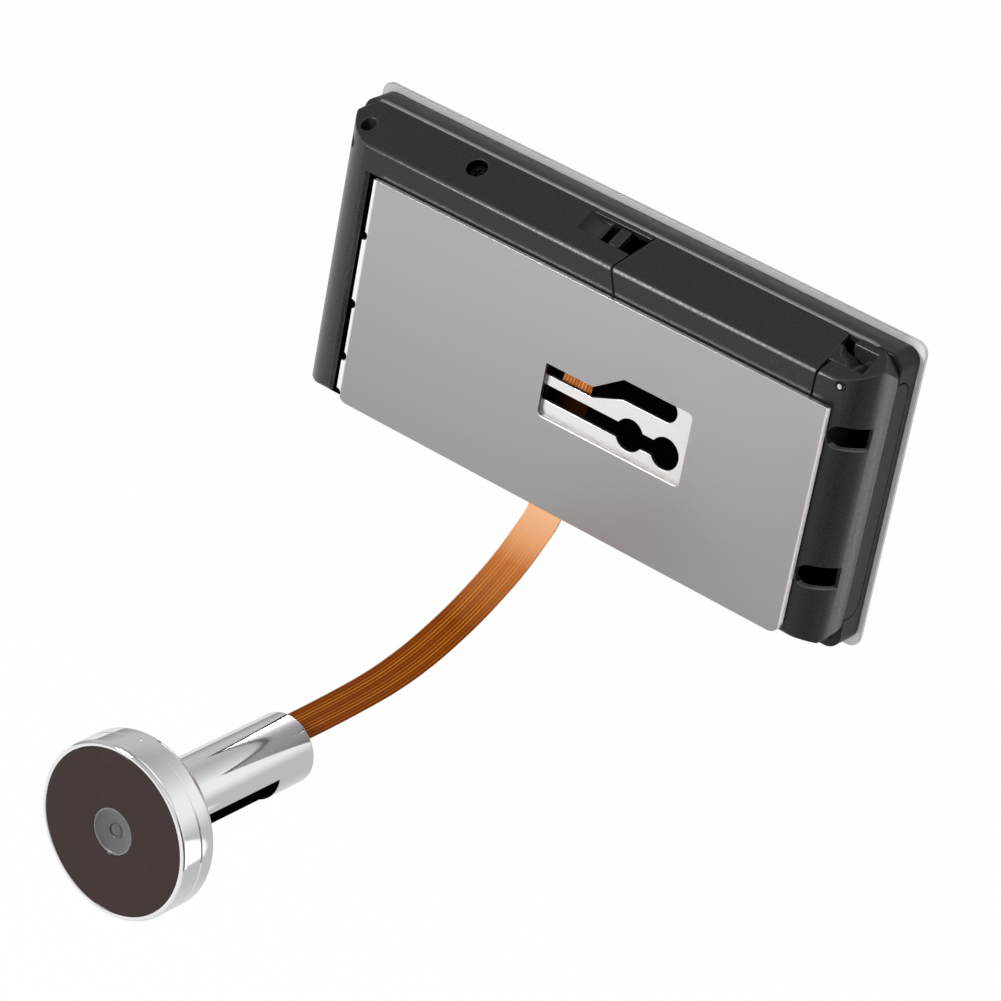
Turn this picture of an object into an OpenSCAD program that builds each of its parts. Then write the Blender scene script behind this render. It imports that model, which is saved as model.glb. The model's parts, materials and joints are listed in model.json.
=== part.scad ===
// Peephole door camera: an indoor monitor on its door plate, and the outdoor
// camera head that a flat ribbon joins to it.
// X runs along the monitor, Z is up and the door plate faces -Y.
// The origin is on the plate's door face, opposite the middle of the front panel.

/* [Front panel] */
// Length of the clear front panel
panel_w = 130; // [120:1:150]
// Height of the front panel
panel_h = 64.6; // [62:0.2:76]
// Thickness of the front panel
panel_t = 0.8; // [0.6:0.1:2]
// Corner radius of the front panel
panel_corner_r = 2.5; // [2:0.5:8]

/* [Case] */
// Depth from the plate's door face to the panel's outer face
unit_d = 17.7; // [17:0.1:20]
// How far the panel stands out past the case at each end
panel_lip_x = 0.8; // [0.4:0.1:3]
// How far the panel stands out past the case above and below
panel_lip_z = 1.3; // [0.5:0.1:3]
// Depth of the front case's side band
band_d = 6.2; // [5:0.1:7]
// Height of the flat back face, between its two sloping faces
back_h = 52; // [46:0.5:58]
// How far below the panel's middle the back face ends
under_h = 27.3; // [25:0.1:28.5]
// Radius of the rounded ends
end_r = 10.5; // [7:0.25:11]
// Corner radius of the front case
case_corner_r = 3; // [2:0.5:6]
// Corner radius of the rear shell seen from behind
shell_corner_r = 5.5; // [3:0.5:7]
// Wall thickness of the mouldings
wall = 1.6; // [1.2:0.1:2]
// Radius along the edges between the back face and its sloping faces
back_edge_r = 2.4; // [0.5:0.1:3]
// Gap along the seams between mouldings that move
seam = 0.3; // [0.2:0.05:0.5]

/* [Door plate] */
// Length of the door plate
plate_w = 108.4; // [90:0.2:116]
// Height of the door plate
plate_h = 48; // [42:0.5:52]
// Thickness of the door plate
plate_t = 1; // [0.8:0.1:1.2]
// How far the plate sits to the right of the panel's middle
plate_dx = 2.95; // [0:0.05:4]
// How far the plate sits below the panel's middle
plate_drop = 3.15; // [0:0.05:4]
// Radius of the plate's lower corners
plate_corner_r = 2.5; // [1:0.5:6]
// Gap between the plate and the case
plate_gap = 0.5; // [0.3:0.1:0.8]
// How far the monitor slides along the plate to come off its hooks
plate_travel = 3; // [1.5:0.25:4]
// Thickness of the bright slotted plate behind the window
slotted_t = 0.8; // [0.6:0.1:1]
// Width of the fixing slot, for M3 screws
screw_slot_w = 3.2; // [3.2:0.1:4]
// Diameter of the keyholes that the screw heads pass
keyhole_d = 6.6; // [6:0.1:7.5]
// Distance between the two fixing screws
screw_pitch = 8.4; // [7.6:0.1:9.5]

/* [Battery bay] */
// Diameter of an AAA cell
cell_d = 10.5; // [10:0.1:10.6]
// Length of an AAA cell
cell_l = 44.5; // [40:0.5:46]
// How far the cover's seam lies to the right of the panel's middle
cover_x0 = 4.6; // [4:0.1:6]
// Height of the cover's lower edge on the back face
cover_z0 = 17; // [14:0.5:19]
// Diameter of the steel hinge pin
hinge_pin_d = 1.6; // [1.2:0.1:2]
// Radial clearance of the cover on its hinge pin
hinge_clear = 0.05; // [0.02:0.01:0.1]
// Travel of the cover latch
latch_travel = 2.2; // [1.5:0.1:2.4]

/* [Inside] */
// Room between the case's left wall and the display module
lcd_gap_x = 5; // [2:0.5:10]
// Room between the case's upper wall and the display module
lcd_gap_top = 4.9; // [3:0.1:8]
// Thickness of the display module
lcd_t = 2.8; // [2:0.1:3.4]
// Thickness of the circuit boards
board_t = 1.2; // [0.8:0.1:1.6]
// Diameter of the front button
button_d = 10; // [8:0.5:12]
// Travel of the front button
button_travel = 0.6; // [0.3:0.1:1]
// Diameter of the speaker
speaker_d = 15; // [10:0.5:18]

/* [Camera head] */
// Outer diameter of the chrome ring
ring_d = 33.9; // [33:0.1:40]
// Length of the chrome ring
ring_l = 8.6; // [8.5:0.1:12]
// Diameter of the dark face disc
disc_d = 31.7; // [28:0.1:32]
// Thickness of the face disc
disc_t = 1.5; // [1:0.1:2]
// Diameter of the window over the lens
window_d = 9; // [7:0.1:12]
// Diameter of the barrel that passes through the door
barrel_d = 13.8; // [13.4:0.1:16]
// Length from the face disc to the barrel's free end
head_l = 47.4; // [46:0.1:60]
// Wall of the barrel
barrel_wall = 1.3; // [1:0.1:1.3]
// Width of the slot in the barrel's side
barrel_slot_w = 8; // [4:0.5:8.5]
// Length of the slot in the barrel's side
barrel_slot_l = 27; // [15:1:28]
// Diameter of the tapped holes in the barrel's end
tap_d = 2.5; // [2.4:0.1:2.6]
// Thickness of the sealing ring behind the chrome ring
gasket_t = 1; // [0.6:0.1:2]

/* [Ribbon] */
// Width of the flat ribbon
ribbon_w = 8; // [6:0.2:8.2]
// Thickness of the flat ribbon
ribbon_t = 0.3; // [0.2:0.05:0.4]

/* [Hidden] */
$fn = 64;
eps = 0.01;
far = 200;

// Planes of the monitor, counted along Y from the plate's door face
back_y = plate_t + plate_gap;
panel_y = unit_d - panel_t;
split_y = panel_y - band_d;
front_wall_t = 1.2;
front_y = panel_y - front_wall_t;

// Outline of the case
case_w = panel_w - 2 * panel_lip_x;
case_h = panel_h - 2 * panel_lip_z;
slope = atan((case_h - back_h) / 2 / (split_y - back_y));
// The lower wall ends on the inner half of the front case's rim
under_z1 = case_h / 2 - wall + 0.2;
under_slope = atan((under_z1 - under_h) / (split_y - back_y));
// Room above and below the panel's middle, at a given distance from the door
function room(y) = back_h / 2 + (y - back_y) * tan(slope) - wall / cos(slope);
function under_room(y) = under_h + (y - back_y) * tan(under_slope) - wall / cos(under_slope);

// Edges of the door plate
plate_x0 = plate_dx - plate_w / 2;
plate_x1 = plate_dx + plate_w / 2;
plate_z0 = -plate_drop - plate_h / 2;
plate_z1 = -plate_drop + plate_h / 2;
hook_out = 0.4;
hook_l = back_y + 1.3;
relief_r = 0.9;
// Lower and upper end of each bent hook, measured down from the plate's top
hooks = [[13, 26], [39.3, plate_h - plate_corner_r]];

// Hinge of the battery cover
knuckle_r = 2.2;
arm_y0 = 5;
arm_y1 = 9;
arm_inset = 0.35;
cover_x1 = case_w / 2 - 12.2;
pin_x = cover_x1 + 5.3;
pin_z = back_h / 2 - 1.1;
hinge_gap_slope = 0.25;
// How far the cover's left edge leans to the right, per mm above and below its bend
edge_lean_up = 0.56;
edge_lean_down = 0.375;
pin_y0 = back_y + 0.4;
pin_y1 = split_y - 0.2;

// Battery bay
cell_pitch = cell_d + 0.3;
cell_gap = 0.15;
cell_y = back_y + wall + cell_gap + cell_d / 2;
cell_z = [for (i = [0:2]) cover_z0 - 0.5 - i * cell_pitch];
rib = 1.2;
rib_top_z = cover_z0 + 4;
bay_x1 = cover_x1 + 3.5;
contact_t = 0.5;
contact_half = 4;
spring_l = 3.2;
cell_x1 = bay_x1 - contact_t;
cell_x0 = cell_x1 - cell_l;
bay_x0 = cell_x0 - spring_l - contact_t;
bay_z0 = cell_z[2] - cell_d / 2 - 0.3;
bay_y1 = front_y - 0.2;

// Ribbon connector on the main board, left of the battery bay
conn_w = 10;
conn_h = 5;
conn_t = 2;
conn_z0 = 4;
conn_gap = 0.6;
conn_lid_h = 2;
conn_lid_t = 0.6;
conn_lid_w = 9;
mid_x = bay_x0 - rib - conn_gap - conn_w / 2;
shell_window_x0 = mid_x - 7;
shell_window_x1 = mid_x + conn_w / 2 + 0.1;
shell_window_z0 = -4;
shell_window_z1 = 11;
groove_clear = 1.2;
groove_d = 1.4;

// Window of the door plate and slots behind it, about the ribbon's middle line
win_x0 = mid_x - 4.55;
win_x1 = mid_x + 29.45;
win_z1 = 6.65;
win_z0 = -8.75;
win_step_x = mid_x + 6.75;
win_step_w = 6.4;
win_step_h = 4.45;
win_corner_r = 1.1;
slotted_rim = 1.5;
screw_slot_z = -4.15;
keyhole_x1 = mid_x + 24.45;
ribbon_slot_h = 2.7;
ribbon_slot_z = 0.87;
ribbon_slot_end_d = 4.6;
ribbon_slot_end_x = mid_x + 25.55;

// Latch in its finger notch, in the sloping face's own axes
notch_x0 = cover_x0 - 11.2;
notch_u0 = -0.8;
notch_u1 = 4.2;
latch_x0 = cover_x0 - 4.6;
latch_x1 = cover_x0 - 2.2;
latch_tip_x = cover_x0 + 2.4;
latch_w0 = -3.4;
latch_w1 = -0.3;
pocket_floor = 0.4;

// Ends of the rear shell over the front case
skirt_y = panel_y - 2;
skirt_corner_r = 3;

// Fasteners
screw_r = 1.1;
screw_head_r = 1.9;
screw_head_h = 1.3;
boss_r = 2.4;
case_screw_x = [-case_w / 2 + 20.2, mid_x + 14, case_w / 2 - 14.2];
case_screw_z = -under_h + 4.7;
side_screw_x = -case_w / 2 + 31;
side_screw_u = 1.3;
side_screw_l = 5.8;
side_sink_d = 5.2;
side_bore_d = 3.8;
side_sink_h = 0.6;
side_seat = -2.7;
side_boss_r = 2.9;
side_boss_w = side_seat - 1.2;
side_lug_w = 6;
side_lug_end = 0.8;

// Boards and display
board_y = 6.2;
board_x0 = -case_w / 2 + 5.2;
board_x1 = bay_x0 - rib - 0.3;
board_clear = 0.4;
board_z1 = room(board_y) - 5.2;
board_z0 = -under_room(board_y) + board_clear;
board_tail_x1 = case_w / 2 - 10.2;
board_tail_z1 = bay_z0 - rib - 0.4;
lcd_x1 = bay_x0 - rib - 1.2;
lcd_x0 = -case_w / 2 + wall + lcd_gap_x;
lcd_z0 = case_screw_z + boss_r + 0.7;
lcd_z1 = case_h / 2 - wall - lcd_gap_top;
gasket_lcd_t = 0.4;
lcd_y1 = front_y - gasket_lcd_t;
lcd_border = 3;
flex_w = 16;
flex_t = 0.3;

// Front button and speaker
button_x = mid_x + 31;
button_z = -case_h / 2 + 10.6;
button_clear = 0.25;
button_proud = 0.5;
button_lip = 1;
button_lip_t = 1;
switch_size = 6;
switch_stem_d = 3;
speaker_h = board_y - back_y - wall - 0.2;
speaker_x = board_x0 + 28;
speaker_z = 6;

// Camera head
head_z = -55.6;
face_y = -115;
ring_y1 = face_y + ring_l;
barrel_y1 = face_y + head_l;
ring_back_t = 1.5;
ring_lip = 0.1;
ring_groove_y = 4.7;
seat_step = 3.35;
seat_r = disc_d / 2 - seat_step;
board_seat_y = face_y + 4.6;
board_seat_r = seat_r - 1.5;
barrel_r = barrel_d / 2;
bore_r = barrel_r - barrel_wall;
neck_r = barrel_r - 0.4;
neck_y0 = ring_y1 - ring_back_t - 0.5;
end_block_l = 8;
end_land_l = 6.2;
end_groove_w = 0.6;
tap_z = head_z - 1.6;
fit = 0.05;
gasket_gap = 0.2;
gasket_inset = 1.8;
barrel_slot_angle = -34;
barrel_slot_y0 = ring_y1 + gasket_t + 1;
lens_r = 1.5;
holder_r = 4.3;
head_conn_t = 1.4;

// Ribbon route: [y, z] of its middle line, chosen by hand
ribbon_split_z = -28;
ribbon_in_route = [
    [5.2, 5], [5.2, 3.6], [4.7, 2], [3.6, 0], [2.8, -2], [2.5, -5],
    [2.5, -16], [2.5, ribbon_split_z]
];
ribbon_free_route = [
    [2.5, ribbon_split_z], [2.45, -28.7], [2.1, -29.6], [1.1, -30.9], [-0.6, -32.5],
    [-3.5, -35.2], [-7, -38], [-12, -41.1], [-17.6, -44.1], [-24, -46.8],
    [-30.5, -49], [-37.5, -50.6], [-44.5, -51.5], [-54, -52], [-62, -52.2],
    [barrel_y1, -52.2]
];
ribbon_head_route = [
    [barrel_y1, -52.2], [barrel_y1 - 12, -52.2],
    [board_seat_y + head_conn_t, -52.2]
];

// A box given by its lowest and highest corner
module span(low, high) {
    translate(low) cube(high - low);
}

// A rectangle with round corners, centred
module rounded_rect(w, h, r) {
    square([w - 2 * r, h], center = true);
    square([w, h - 2 * r], center = true);
    for (x = [-1, 1], z = [-1, 1])
        translate([x * (w / 2 - r), z * (h / 2 - r)]) circle(r);
}

// An outline in X and Z, extruded along Y from y0 to y1
module along_y(y0, y1) {
    translate([0, y1, 0]) rotate([90, 0, 0]) linear_extrude(y1 - y0) children();
}

// An outline in X and Y, extruded along Z
module along_z(z0, z1) {
    translate([0, 0, z0]) linear_extrude(z1 - z0) children();
}

// An outline in Y and Z, extruded along X
module along_x(x0, x1) {
    translate([x0, 0, 0]) rotate([90, 0, 90]) linear_extrude(x1 - x0) children();
}

// A cylinder along Y
module rod(x, z, r, y0, y1) {
    translate([x, y1, z]) rotate([90, 0, 0]) cylinder(h = y1 - y0, r = r);
}

// A shape turned about the camera head's axis, drawn as [radius, y]
module turned() {
    translate([mid_x, 0, head_z]) rotate([-90, 0, 0]) rotate_extrude($fn = 96) children();
}

// Axes of the sloping top face: X, then u towards the panel, then w outwards
module on_slope() {
    translate([0, (split_y + back_y) / 2, (case_h + back_h) / 4])
        rotate([slope, 0, 0]) children();
}

// The rear shell's outer form, moved in by a given distance
module shell_form(inset) {
    side = inset / cos(slope);
    under_side = inset / cos(under_slope);
    w = case_w - 2 * inset;
    r = end_r - inset;
    y0 = back_y + inset;
    y1 = split_y + (inset > 0 ? eps : 0);
    top = case_h / 2 - side + (y1 - split_y) * tan(slope);
    high = back_h / 2 - side + inset * tan(slope);
    foot = under_z1 - under_side + (y1 - split_y) * tan(under_slope);
    low = under_h - under_side + inset * tan(under_slope);
    edge = inset > 0 ? 0 : back_edge_r;
    cut = edge * tan((90 - slope) / 2);
    under_cut = edge * tan((90 - under_slope) / 2);
    intersection() {
        along_x(-w / 2, w / 2) {
            polygon([
                [y0, under_cut - low],
                [y0 + under_cut * cos(under_slope), -low - under_cut * sin(under_slope)],
                [y1, -foot], [y1, top],
                [y0 + cut * cos(slope), high + cut * sin(slope)], [y0, high - cut]
            ]);
            if (edge > 0)
                for (z = [under_cut - low, high - cut]) translate([y0 + edge, z]) circle(edge);
        }
        along_z(-case_h, case_h) {
            translate([-w / 2 + r, y0]) square([w - 2 * r, y1 - y0]);
            translate([-w / 2, y0 + r]) square([w, max(y1 - y0 - r, eps)]);
            intersection() {
                for (x = [-1, 1]) translate([x * (w / 2 - r), y0 + r]) circle(r);
                translate([-w / 2, y0]) square([w, y1 - y0]);
            }
        }
        along_y(y0, y1) translate([0, (top - foot) / 2])
            rounded_rect(w, top + foot + 0.2, shell_corner_r - inset / 2);
    }
}

// The part of the shell's wall that the battery cover takes, grown by a gap.
// Its left edge is bent, so that it swings up free of the shell.
module cover_zone(gap) {
    bend_z = back_h / 2;
    rise = case_h / 2 + 1 - bend_z;
    fall = bend_z - cover_z0 + gap;
    right = cover_x1 + gap;
    lean = gap > 0 ? hinge_gap_slope * (split_y - back_y) : 0;
    intersection() {
        along_y(0, split_y + 1) translate([-gap, 0]) polygon([
            [cover_x0, bend_z],
            [cover_x0 + edge_lean_up * rise, bend_z + rise],
            [far, bend_z + rise],
            [far, bend_z - fall],
            [cover_x0 + edge_lean_down * fall, bend_z - fall]
        ]);
        along_z(0, far) polygon([
            [0, 0], [right, 0], [right, back_y], [right + lean, split_y],
            [right + lean, split_y + 1], [0, split_y + 1]
        ]);
    }
}

// Ribs of the battery bay, moulded on the back wall
module bay_ribs() {
    y0 = back_y + wall - eps;
    span([bay_x0 - rib, y0, bay_z0 - rib], [bay_x0, bay_y1, rib_top_z]);
    span([bay_x1, y0, bay_z0 - rib], [bay_x1 + rib, bay_y1, rib_top_z]);
    span([bay_x0 - rib, y0, bay_z0 - rib], [bay_x1 + rib, bay_y1, bay_z0]);
}

// Posts of the rear shell that clamp the main board
module shell_posts() {
    for (x = case_screw_x)
        rod(x, case_screw_z, boss_r, back_y + wall - eps, board_y);
}

// Thicker wall behind the groove for the plate's hooks
module groove_back() {
    intersection() {
        shell_form(0);
        span([plate_x0 - plate_travel - 2, back_y + wall - eps, -case_h],
             [plate_x0 + 2, hook_l + seam + 1, case_h]);
    }
}

// Solid corner of the shell around the strap eye
module eye_corner() {
    intersection() {
        shell_form(0);
        span([-case_w, 0, board_z1 + seam], [-case_w / 2 + 11, split_y - eps, case_h]);
    }
}

// Walls around the latch pocket
module latch_block() {
    intersection() {
        on_slope() span([notch_x0 - 1.2, notch_u0 - 1.2, latch_w0 - pocket_floor - 1.2],
                        [cover_x0 - seam, notch_u1 + 1.2, 0]);
        shell_form(0);
        span([-far, 0, 0], [far, split_y - eps, far]);
    }
}

// Boss under the sloping face that the top screw's head rests in
module side_boss() {
    intersection() {
        shell_form(0);
        on_slope() translate([side_screw_x, side_screw_u, side_boss_w])
            cylinder(h = -side_boss_w, r = side_boss_r);
    }
}

// Walls that carry the hinge pin on both sides of the cover's arm
module hinge_walls() {
    intersection() {
        shell_form(0);
        union() {
            rod(pin_x, pin_z, knuckle_r + 0.8, 0, arm_y0 - seam);
            span([pin_x - 2.6, arm_y1 + seam, pin_z - 3],
                 [pin_x + 4, split_y - eps, case_h]);
        }
    }
}

// One sound slot of the right end, rounded at its back end
module end_slot(z) {
    slot_h = 4.6;
    x0 = case_w / 2 - 7.6;
    x1 = case_w / 2 - 1.1;
    along_y(0, split_y - 2.4) {
        translate([x0 + slot_h / 2, z]) circle(slot_h / 2);
        translate([x0 + slot_h / 2, z - slot_h / 2]) square([x1 - x0 - slot_h / 2, slot_h]);
    }
}

// Ends of the rear shell that reach forward over the front case
module end_skirts(gap, past) {
    z0 = -case_h / 2 + 6.9;
    z1 = case_h / 2 - 5.5;
    in_x = case_w / 2 - wall - gap;
    out_x = case_w / 2 + past;
    intersection() {
        along_x(-far, far) hull() {
            for (z = [z0 + skirt_corner_r, z1 - skirt_corner_r])
                translate([skirt_y - skirt_corner_r, z]) circle(skirt_corner_r + gap, $fn = 48);
            translate([split_y - 0.5, z0 - gap]) square([0.1, z1 - z0 + 2 * gap]);
        }
        for (side = [0, 1]) mirror([side, 0, 0]) along_z(-far, far)
            polygon([
                [in_x, split_y - eps], [out_x - 0.08, split_y - eps], [out_x, split_y + 1.3],
                [out_x, far], [in_x, far]
            ]);
    }
}

module front_panel() {
    color([0.75, 0.75, 0.76])
    difference() {
        along_y(panel_y, unit_d) rounded_rect(panel_w, panel_h, panel_corner_r);
        rod(button_x, button_z, button_d / 2 + button_clear, panel_y - 1, unit_d + 1);
    }
}

module front_case() {
    inner_w = case_w - 2 * wall;
    inner_h = case_h - 2 * wall;
    color([0.2, 0.2, 0.21])
    difference() {
        union() {
            difference() {
                along_y(split_y, panel_y) rounded_rect(case_w, case_h, case_corner_r);
                along_y(split_y - 1, front_y)
                    rounded_rect(inner_w, inner_h, case_corner_r - wall / 2);
            }
            for (x = case_screw_x)
                rod(x, case_screw_z, boss_r, board_y + board_t, front_y + eps);
            side_lug();
        }
        end_skirts(fit, 1);
        span([lcd_x0 + lcd_border, front_y - 1, lcd_z0 + lcd_border],
             [lcd_x1 - lcd_border, panel_y + 1, lcd_z1 - lcd_border]);
        rod(button_x, button_z, button_d / 2 + button_clear, front_y - 1, panel_y + 1);
        for (x = case_screw_x)
            rod(x, case_screw_z, screw_r + fit, board_y, front_y - 1);
        on_slope() translate([side_screw_x, side_screw_u, -side_screw_l - 1])
            cylinder(h = side_screw_l + 1, r = screw_r + fit);
    }
}

// Lug under the sloping face that takes the top screw
module side_lug() {
    tip_y = (split_y + back_y) / 2 + side_screw_u * cos(slope) + side_screw_l * sin(slope);
    tip_z = (case_h + back_h) / 4 + side_screw_u * sin(slope) - side_screw_l * cos(slope);
    difference() {
        span([side_screw_x - side_lug_w / 2, tip_y - side_lug_w / 2, tip_z - side_lug_end],
             [side_screw_x + side_lug_w / 2, front_y + eps, case_h / 2 - wall + eps]);
        intersection() {
            on_slope() span([-far, -far, side_boss_w - 0.1], [far, far, far]);
            span([-far, -far, -far], [far, split_y + seam, far]);
        }
        span([-far, split_y - seam, lcd_z0], [far, front_y + 1, lcd_z1 + seam]);
    }
}

module lcd_module() {
    color([0.1, 0.1, 0.12])
    span([lcd_x0, lcd_y1 - lcd_t, lcd_z0], [lcd_x1, lcd_y1, lcd_z1]);
}

module lcd_gasket() {
    color([0.15, 0.15, 0.15])
    difference() {
        span([lcd_x0, lcd_y1, lcd_z0], [lcd_x1, front_y, lcd_z1]);
        span([lcd_x0 + lcd_border, lcd_y1 - 1, lcd_z0 + lcd_border],
             [lcd_x1 - lcd_border, front_y + 1, lcd_z1 - lcd_border]);
    }
}

module lcd_flex() {
    x0 = (lcd_x0 + lcd_x1 - flex_w) / 2;
    color([0.8, 0.5, 0.15])
    span([x0, board_y + board_t, lcd_z0 - flex_t], [x0 + flex_w, lcd_y1 - 0.4, lcd_z0]);
}

module main_board() {
    color([0.1, 0.35, 0.2])
    difference() {
        union() {
            span([board_x0, board_y, board_z0], [board_x1, board_y + board_t, board_z1]);
            span([board_x1 - eps, board_y, board_z0],
                 [board_tail_x1, board_y + board_t, board_tail_z1]);
        }
        for (x = case_screw_x)
            rod(x, case_screw_z, screw_r + 0.3, board_y - 1, board_y + board_t + 1);
    }
}

module board_parts() {
    y = board_y + board_t;
    // Each entry: middle x and z, width, height and thickness of one part
    parts = [[29, 4, 12, 12, 1.2], [11, 8, 8, 6, 1], [45, 10, 5, 5, 2],
             [13, -8, 6, 10, 1.4], [47, -10, 4, 6, 1]];
    color([0.08, 0.08, 0.09])
    for (p = parts)
        span([board_x0 + p[0] - p[2] / 2, y, p[1] - p[3] / 2],
             [board_x0 + p[0] + p[2] / 2, y + p[4], p[1] + p[3] / 2]);
}

module button_switch() {
    y = board_y + board_t;
    top = front_y - button_lip_t - button_travel - 0.3;
    color([0.7, 0.7, 0.7])
    union() {
        span([button_x - switch_size / 2, y, button_z - switch_size / 2],
             [button_x + switch_size / 2, top - 1.2, button_z + switch_size / 2]);
        rod(button_x, button_z, switch_stem_d / 2, top - 1.2 - eps, top);
    }
}

module view_button() {
    lip_r = button_d / 2 + button_lip;
    color([0.6, 0.6, 0.62])
    union() {
        rod(button_x, button_z, button_d / 2, front_y - 0.2, unit_d + button_proud);
        rod(button_x, button_z, lip_r, front_y - 0.1 - button_lip_t, front_y - 0.1);
    }
}

module speaker() {
    y = back_y + wall;
    color([0.15, 0.15, 0.16])
    difference() {
        rod(speaker_x, speaker_z, speaker_d / 2, y, y + speaker_h);
        rod(speaker_x, speaker_z, speaker_d / 2 - 1.5, y - 1, y + 0.8);
    }
}

module ribbon_connector() {
    color([0.9, 0.88, 0.8])
    difference() {
        span([mid_x - conn_w / 2, board_y - conn_t, conn_z0],
             [mid_x + conn_w / 2, board_y, conn_z0 + conn_h]);
        span([mid_x - ribbon_w / 2 - 0.2, ribbon_in_route[0][0] - ribbon_t / 2, conn_z0 - 1],
             [mid_x + ribbon_w / 2 + 0.2, ribbon_in_route[0][0] + ribbon_t / 2, conn_z0 + conn_h - 2]);
    }
}

// The connector's small lid, which turns about its upper edge
module connector_latch() {
    z1 = conn_z0 + conn_h - 0.6;
    y1 = board_y - conn_t;
    r = conn_lid_t / 2;
    color([0.2, 0.2, 0.2])
    union() {
        along_x(mid_x - conn_lid_w / 2, mid_x + conn_lid_w / 2) {
            translate([y1 - r - 0.05, z1]) circle(r, $fn = 24);
            translate([y1 - conn_lid_t - 0.05, z1 - conn_lid_h]) square([conn_lid_t, conn_lid_h]);
        }
    }
}

module rear_shell() {
    groove_x0 = plate_x0 - hook_out - plate_travel - seam / 2;
    groove_x1 = plate_x0 - hook_out + plate_t + seam;
    groove_y = hook_l + seam;
    pocket_y = plate_t + slotted_t + plate_gap;
    color([0.22, 0.22, 0.23])
    difference() {
        union() {
            difference() {
                shell_form(0);
                shell_form(wall);
                cover_zone(seam);
            }
            difference() {
                union() {
                    hinge_walls();
                    eye_corner();
                    latch_block();
                }
                cover_zone(seam);
            }
            bay_ribs();
            shell_posts();
            side_boss();
            groove_back();
            end_skirts(0, 0);
        }
        // Slot and axle hole of the cover's hinge
        span([cover_x1, arm_y0 - seam, pin_z - knuckle_r - seam],
             [pin_x + knuckle_r + seam, arm_y1 + seam, case_h]);
        rod(pin_x, pin_z, hinge_pin_d / 2 + eps, 0, pin_y1 + eps);
        // Finger scoop and latch pocket
        on_slope() {
            translate([notch_x0 + 3.6, notch_u1, 5.4]) rotate([90, 0, 0])
                cylinder(h = notch_u1 - notch_u0, r = 6.8);
            span([latch_x0 - latch_travel - seam, notch_u0, latch_w0 - pocket_floor],
                 [cover_x0 + 3, notch_u1, 1]);
        }
        // Top screw
        on_slope() translate([side_screw_x, side_screw_u, 0]) {
            translate([0, 0, side_boss_w - 1]) cylinder(h = far, r = screw_r + 0.1);
            translate([0, 0, side_seat]) cylinder(h = far, r = side_bore_d / 2);
            translate([0, 0, -side_sink_h]) cylinder(h = far, r = side_sink_d / 2);
        }
        // Strap eye through the upper left corner
        translate([-case_w / 2 + 5.6, back_y + 4, back_h / 2 - 3]) cylinder(h = far, r = 1.5);
        translate([-case_w, back_y + 3.4, back_h / 2 - 2.2]) rotate([0, 90, 0])
            cylinder(h = case_w / 2 + 6.6, r = 1.3);
        for (z = [-14.5, 14.7]) end_slot(z);
        // Groove for the plate's bent hooks
        span([groove_x0, 0, plate_z0 - seam], [groove_x1, groove_y, plate_z1 - hooks[0][0] + 13]);
        // Pocket that clears the slotted plate, and the connector's window
        span([win_x0 - slotted_rim - plate_travel - seam, 0, win_z0 - slotted_rim - seam],
             [win_x1 + slotted_rim + seam, pocket_y, win_z1 + slotted_rim + seam]);
        span([shell_window_x0, 0, shell_window_z0],
             [shell_window_x1, board_y - 0.2, shell_window_z1]);
        // Groove that leads the ribbon down and out
        span([mid_x - ribbon_w / 2 - groove_clear, 0, -case_h],
             [mid_x + ribbon_w / 2 + groove_clear, back_y + groove_d, shell_window_z0 + eps]);
        for (x = case_screw_x) {
            rod(x, case_screw_z, screw_r + 0.1, 0, board_y + 1);
            rod(x, case_screw_z, screw_head_r + 0.1, 0, back_y + wall);
        }
    }
}

// A cross-head screw with its head up, resting at z = 0
module cross_screw(length) {
    difference() {
        union() {
            cylinder(h = screw_head_h, r = screw_head_r - 0.3);
            translate([0, 0, -length]) cylinder(h = length + eps, r = screw_r);
        }
        for (a = [0, 90]) rotate([0, 0, a])
            translate([0, 0, screw_head_h]) cube([2, 0.5, 1.2], center = true);
    }
}

module case_screws() {
    color([0.6, 0.6, 0.6])
    for (x = case_screw_x)
        translate([x, back_y + wall, case_screw_z]) rotate([90, 0, 0])
            cross_screw(front_y - 1.5 - back_y - wall);
}

module side_screw() {
    color([0.3, 0.3, 0.3])
    on_slope() translate([side_screw_x, side_screw_u, side_seat])
        cross_screw(side_screw_l + side_seat);
}

module battery_cover() {
    color([0.21, 0.21, 0.22])
    difference() {
        union() {
            intersection() {
                difference() {
                    shell_form(0);
                    shell_form(wall);
                }
                cover_zone(0);
            }
            // Arm that reaches into the right end and turns on the pin
            intersection() {
                along_y(arm_y0, arm_y1) {
                    translate([pin_x, pin_z]) circle(knuckle_r);
                    translate([cover_x1 - 4, pin_z - 1.5])
                        square([pin_x - cover_x1 + 4, 3]);
                    translate([cover_x1 - 4.5, pin_z - 1.5]) square([4, 6]);
                    translate([pin_x, pin_z]) polygon([
                        [-0.5, 0], [-0.5, 2.1], [-1.75, 2.9], [-3.5, 3.3], [-4, 3.5],
                        [-4.5, 4.1], [-6, 4.6], [-6, 0]
                    ]);
                }
                shell_form(arm_inset);
            }
        }
        rod(pin_x, pin_z, hinge_pin_d / 2 + hinge_clear, 0, split_y);
    }
}

module cover_hinge_pin() {
    color([0.85, 0.85, 0.85])
    rod(pin_x, pin_z, hinge_pin_d / 2, pin_y0, pin_y1);
}

module cover_latch() {
    gap_w = latch_w0 + 1;
    color([0.2, 0.2, 0.21])
    on_slope() union() {
        span([latch_x0, notch_u0 + seam, latch_w0], [latch_x1, notch_u1 - seam, latch_w1]);
        span([latch_x1 - eps, notch_u0 + 1.2, latch_w0],
             [latch_tip_x, notch_u1 - 1.2, gap_w]);
    }
}

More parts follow.
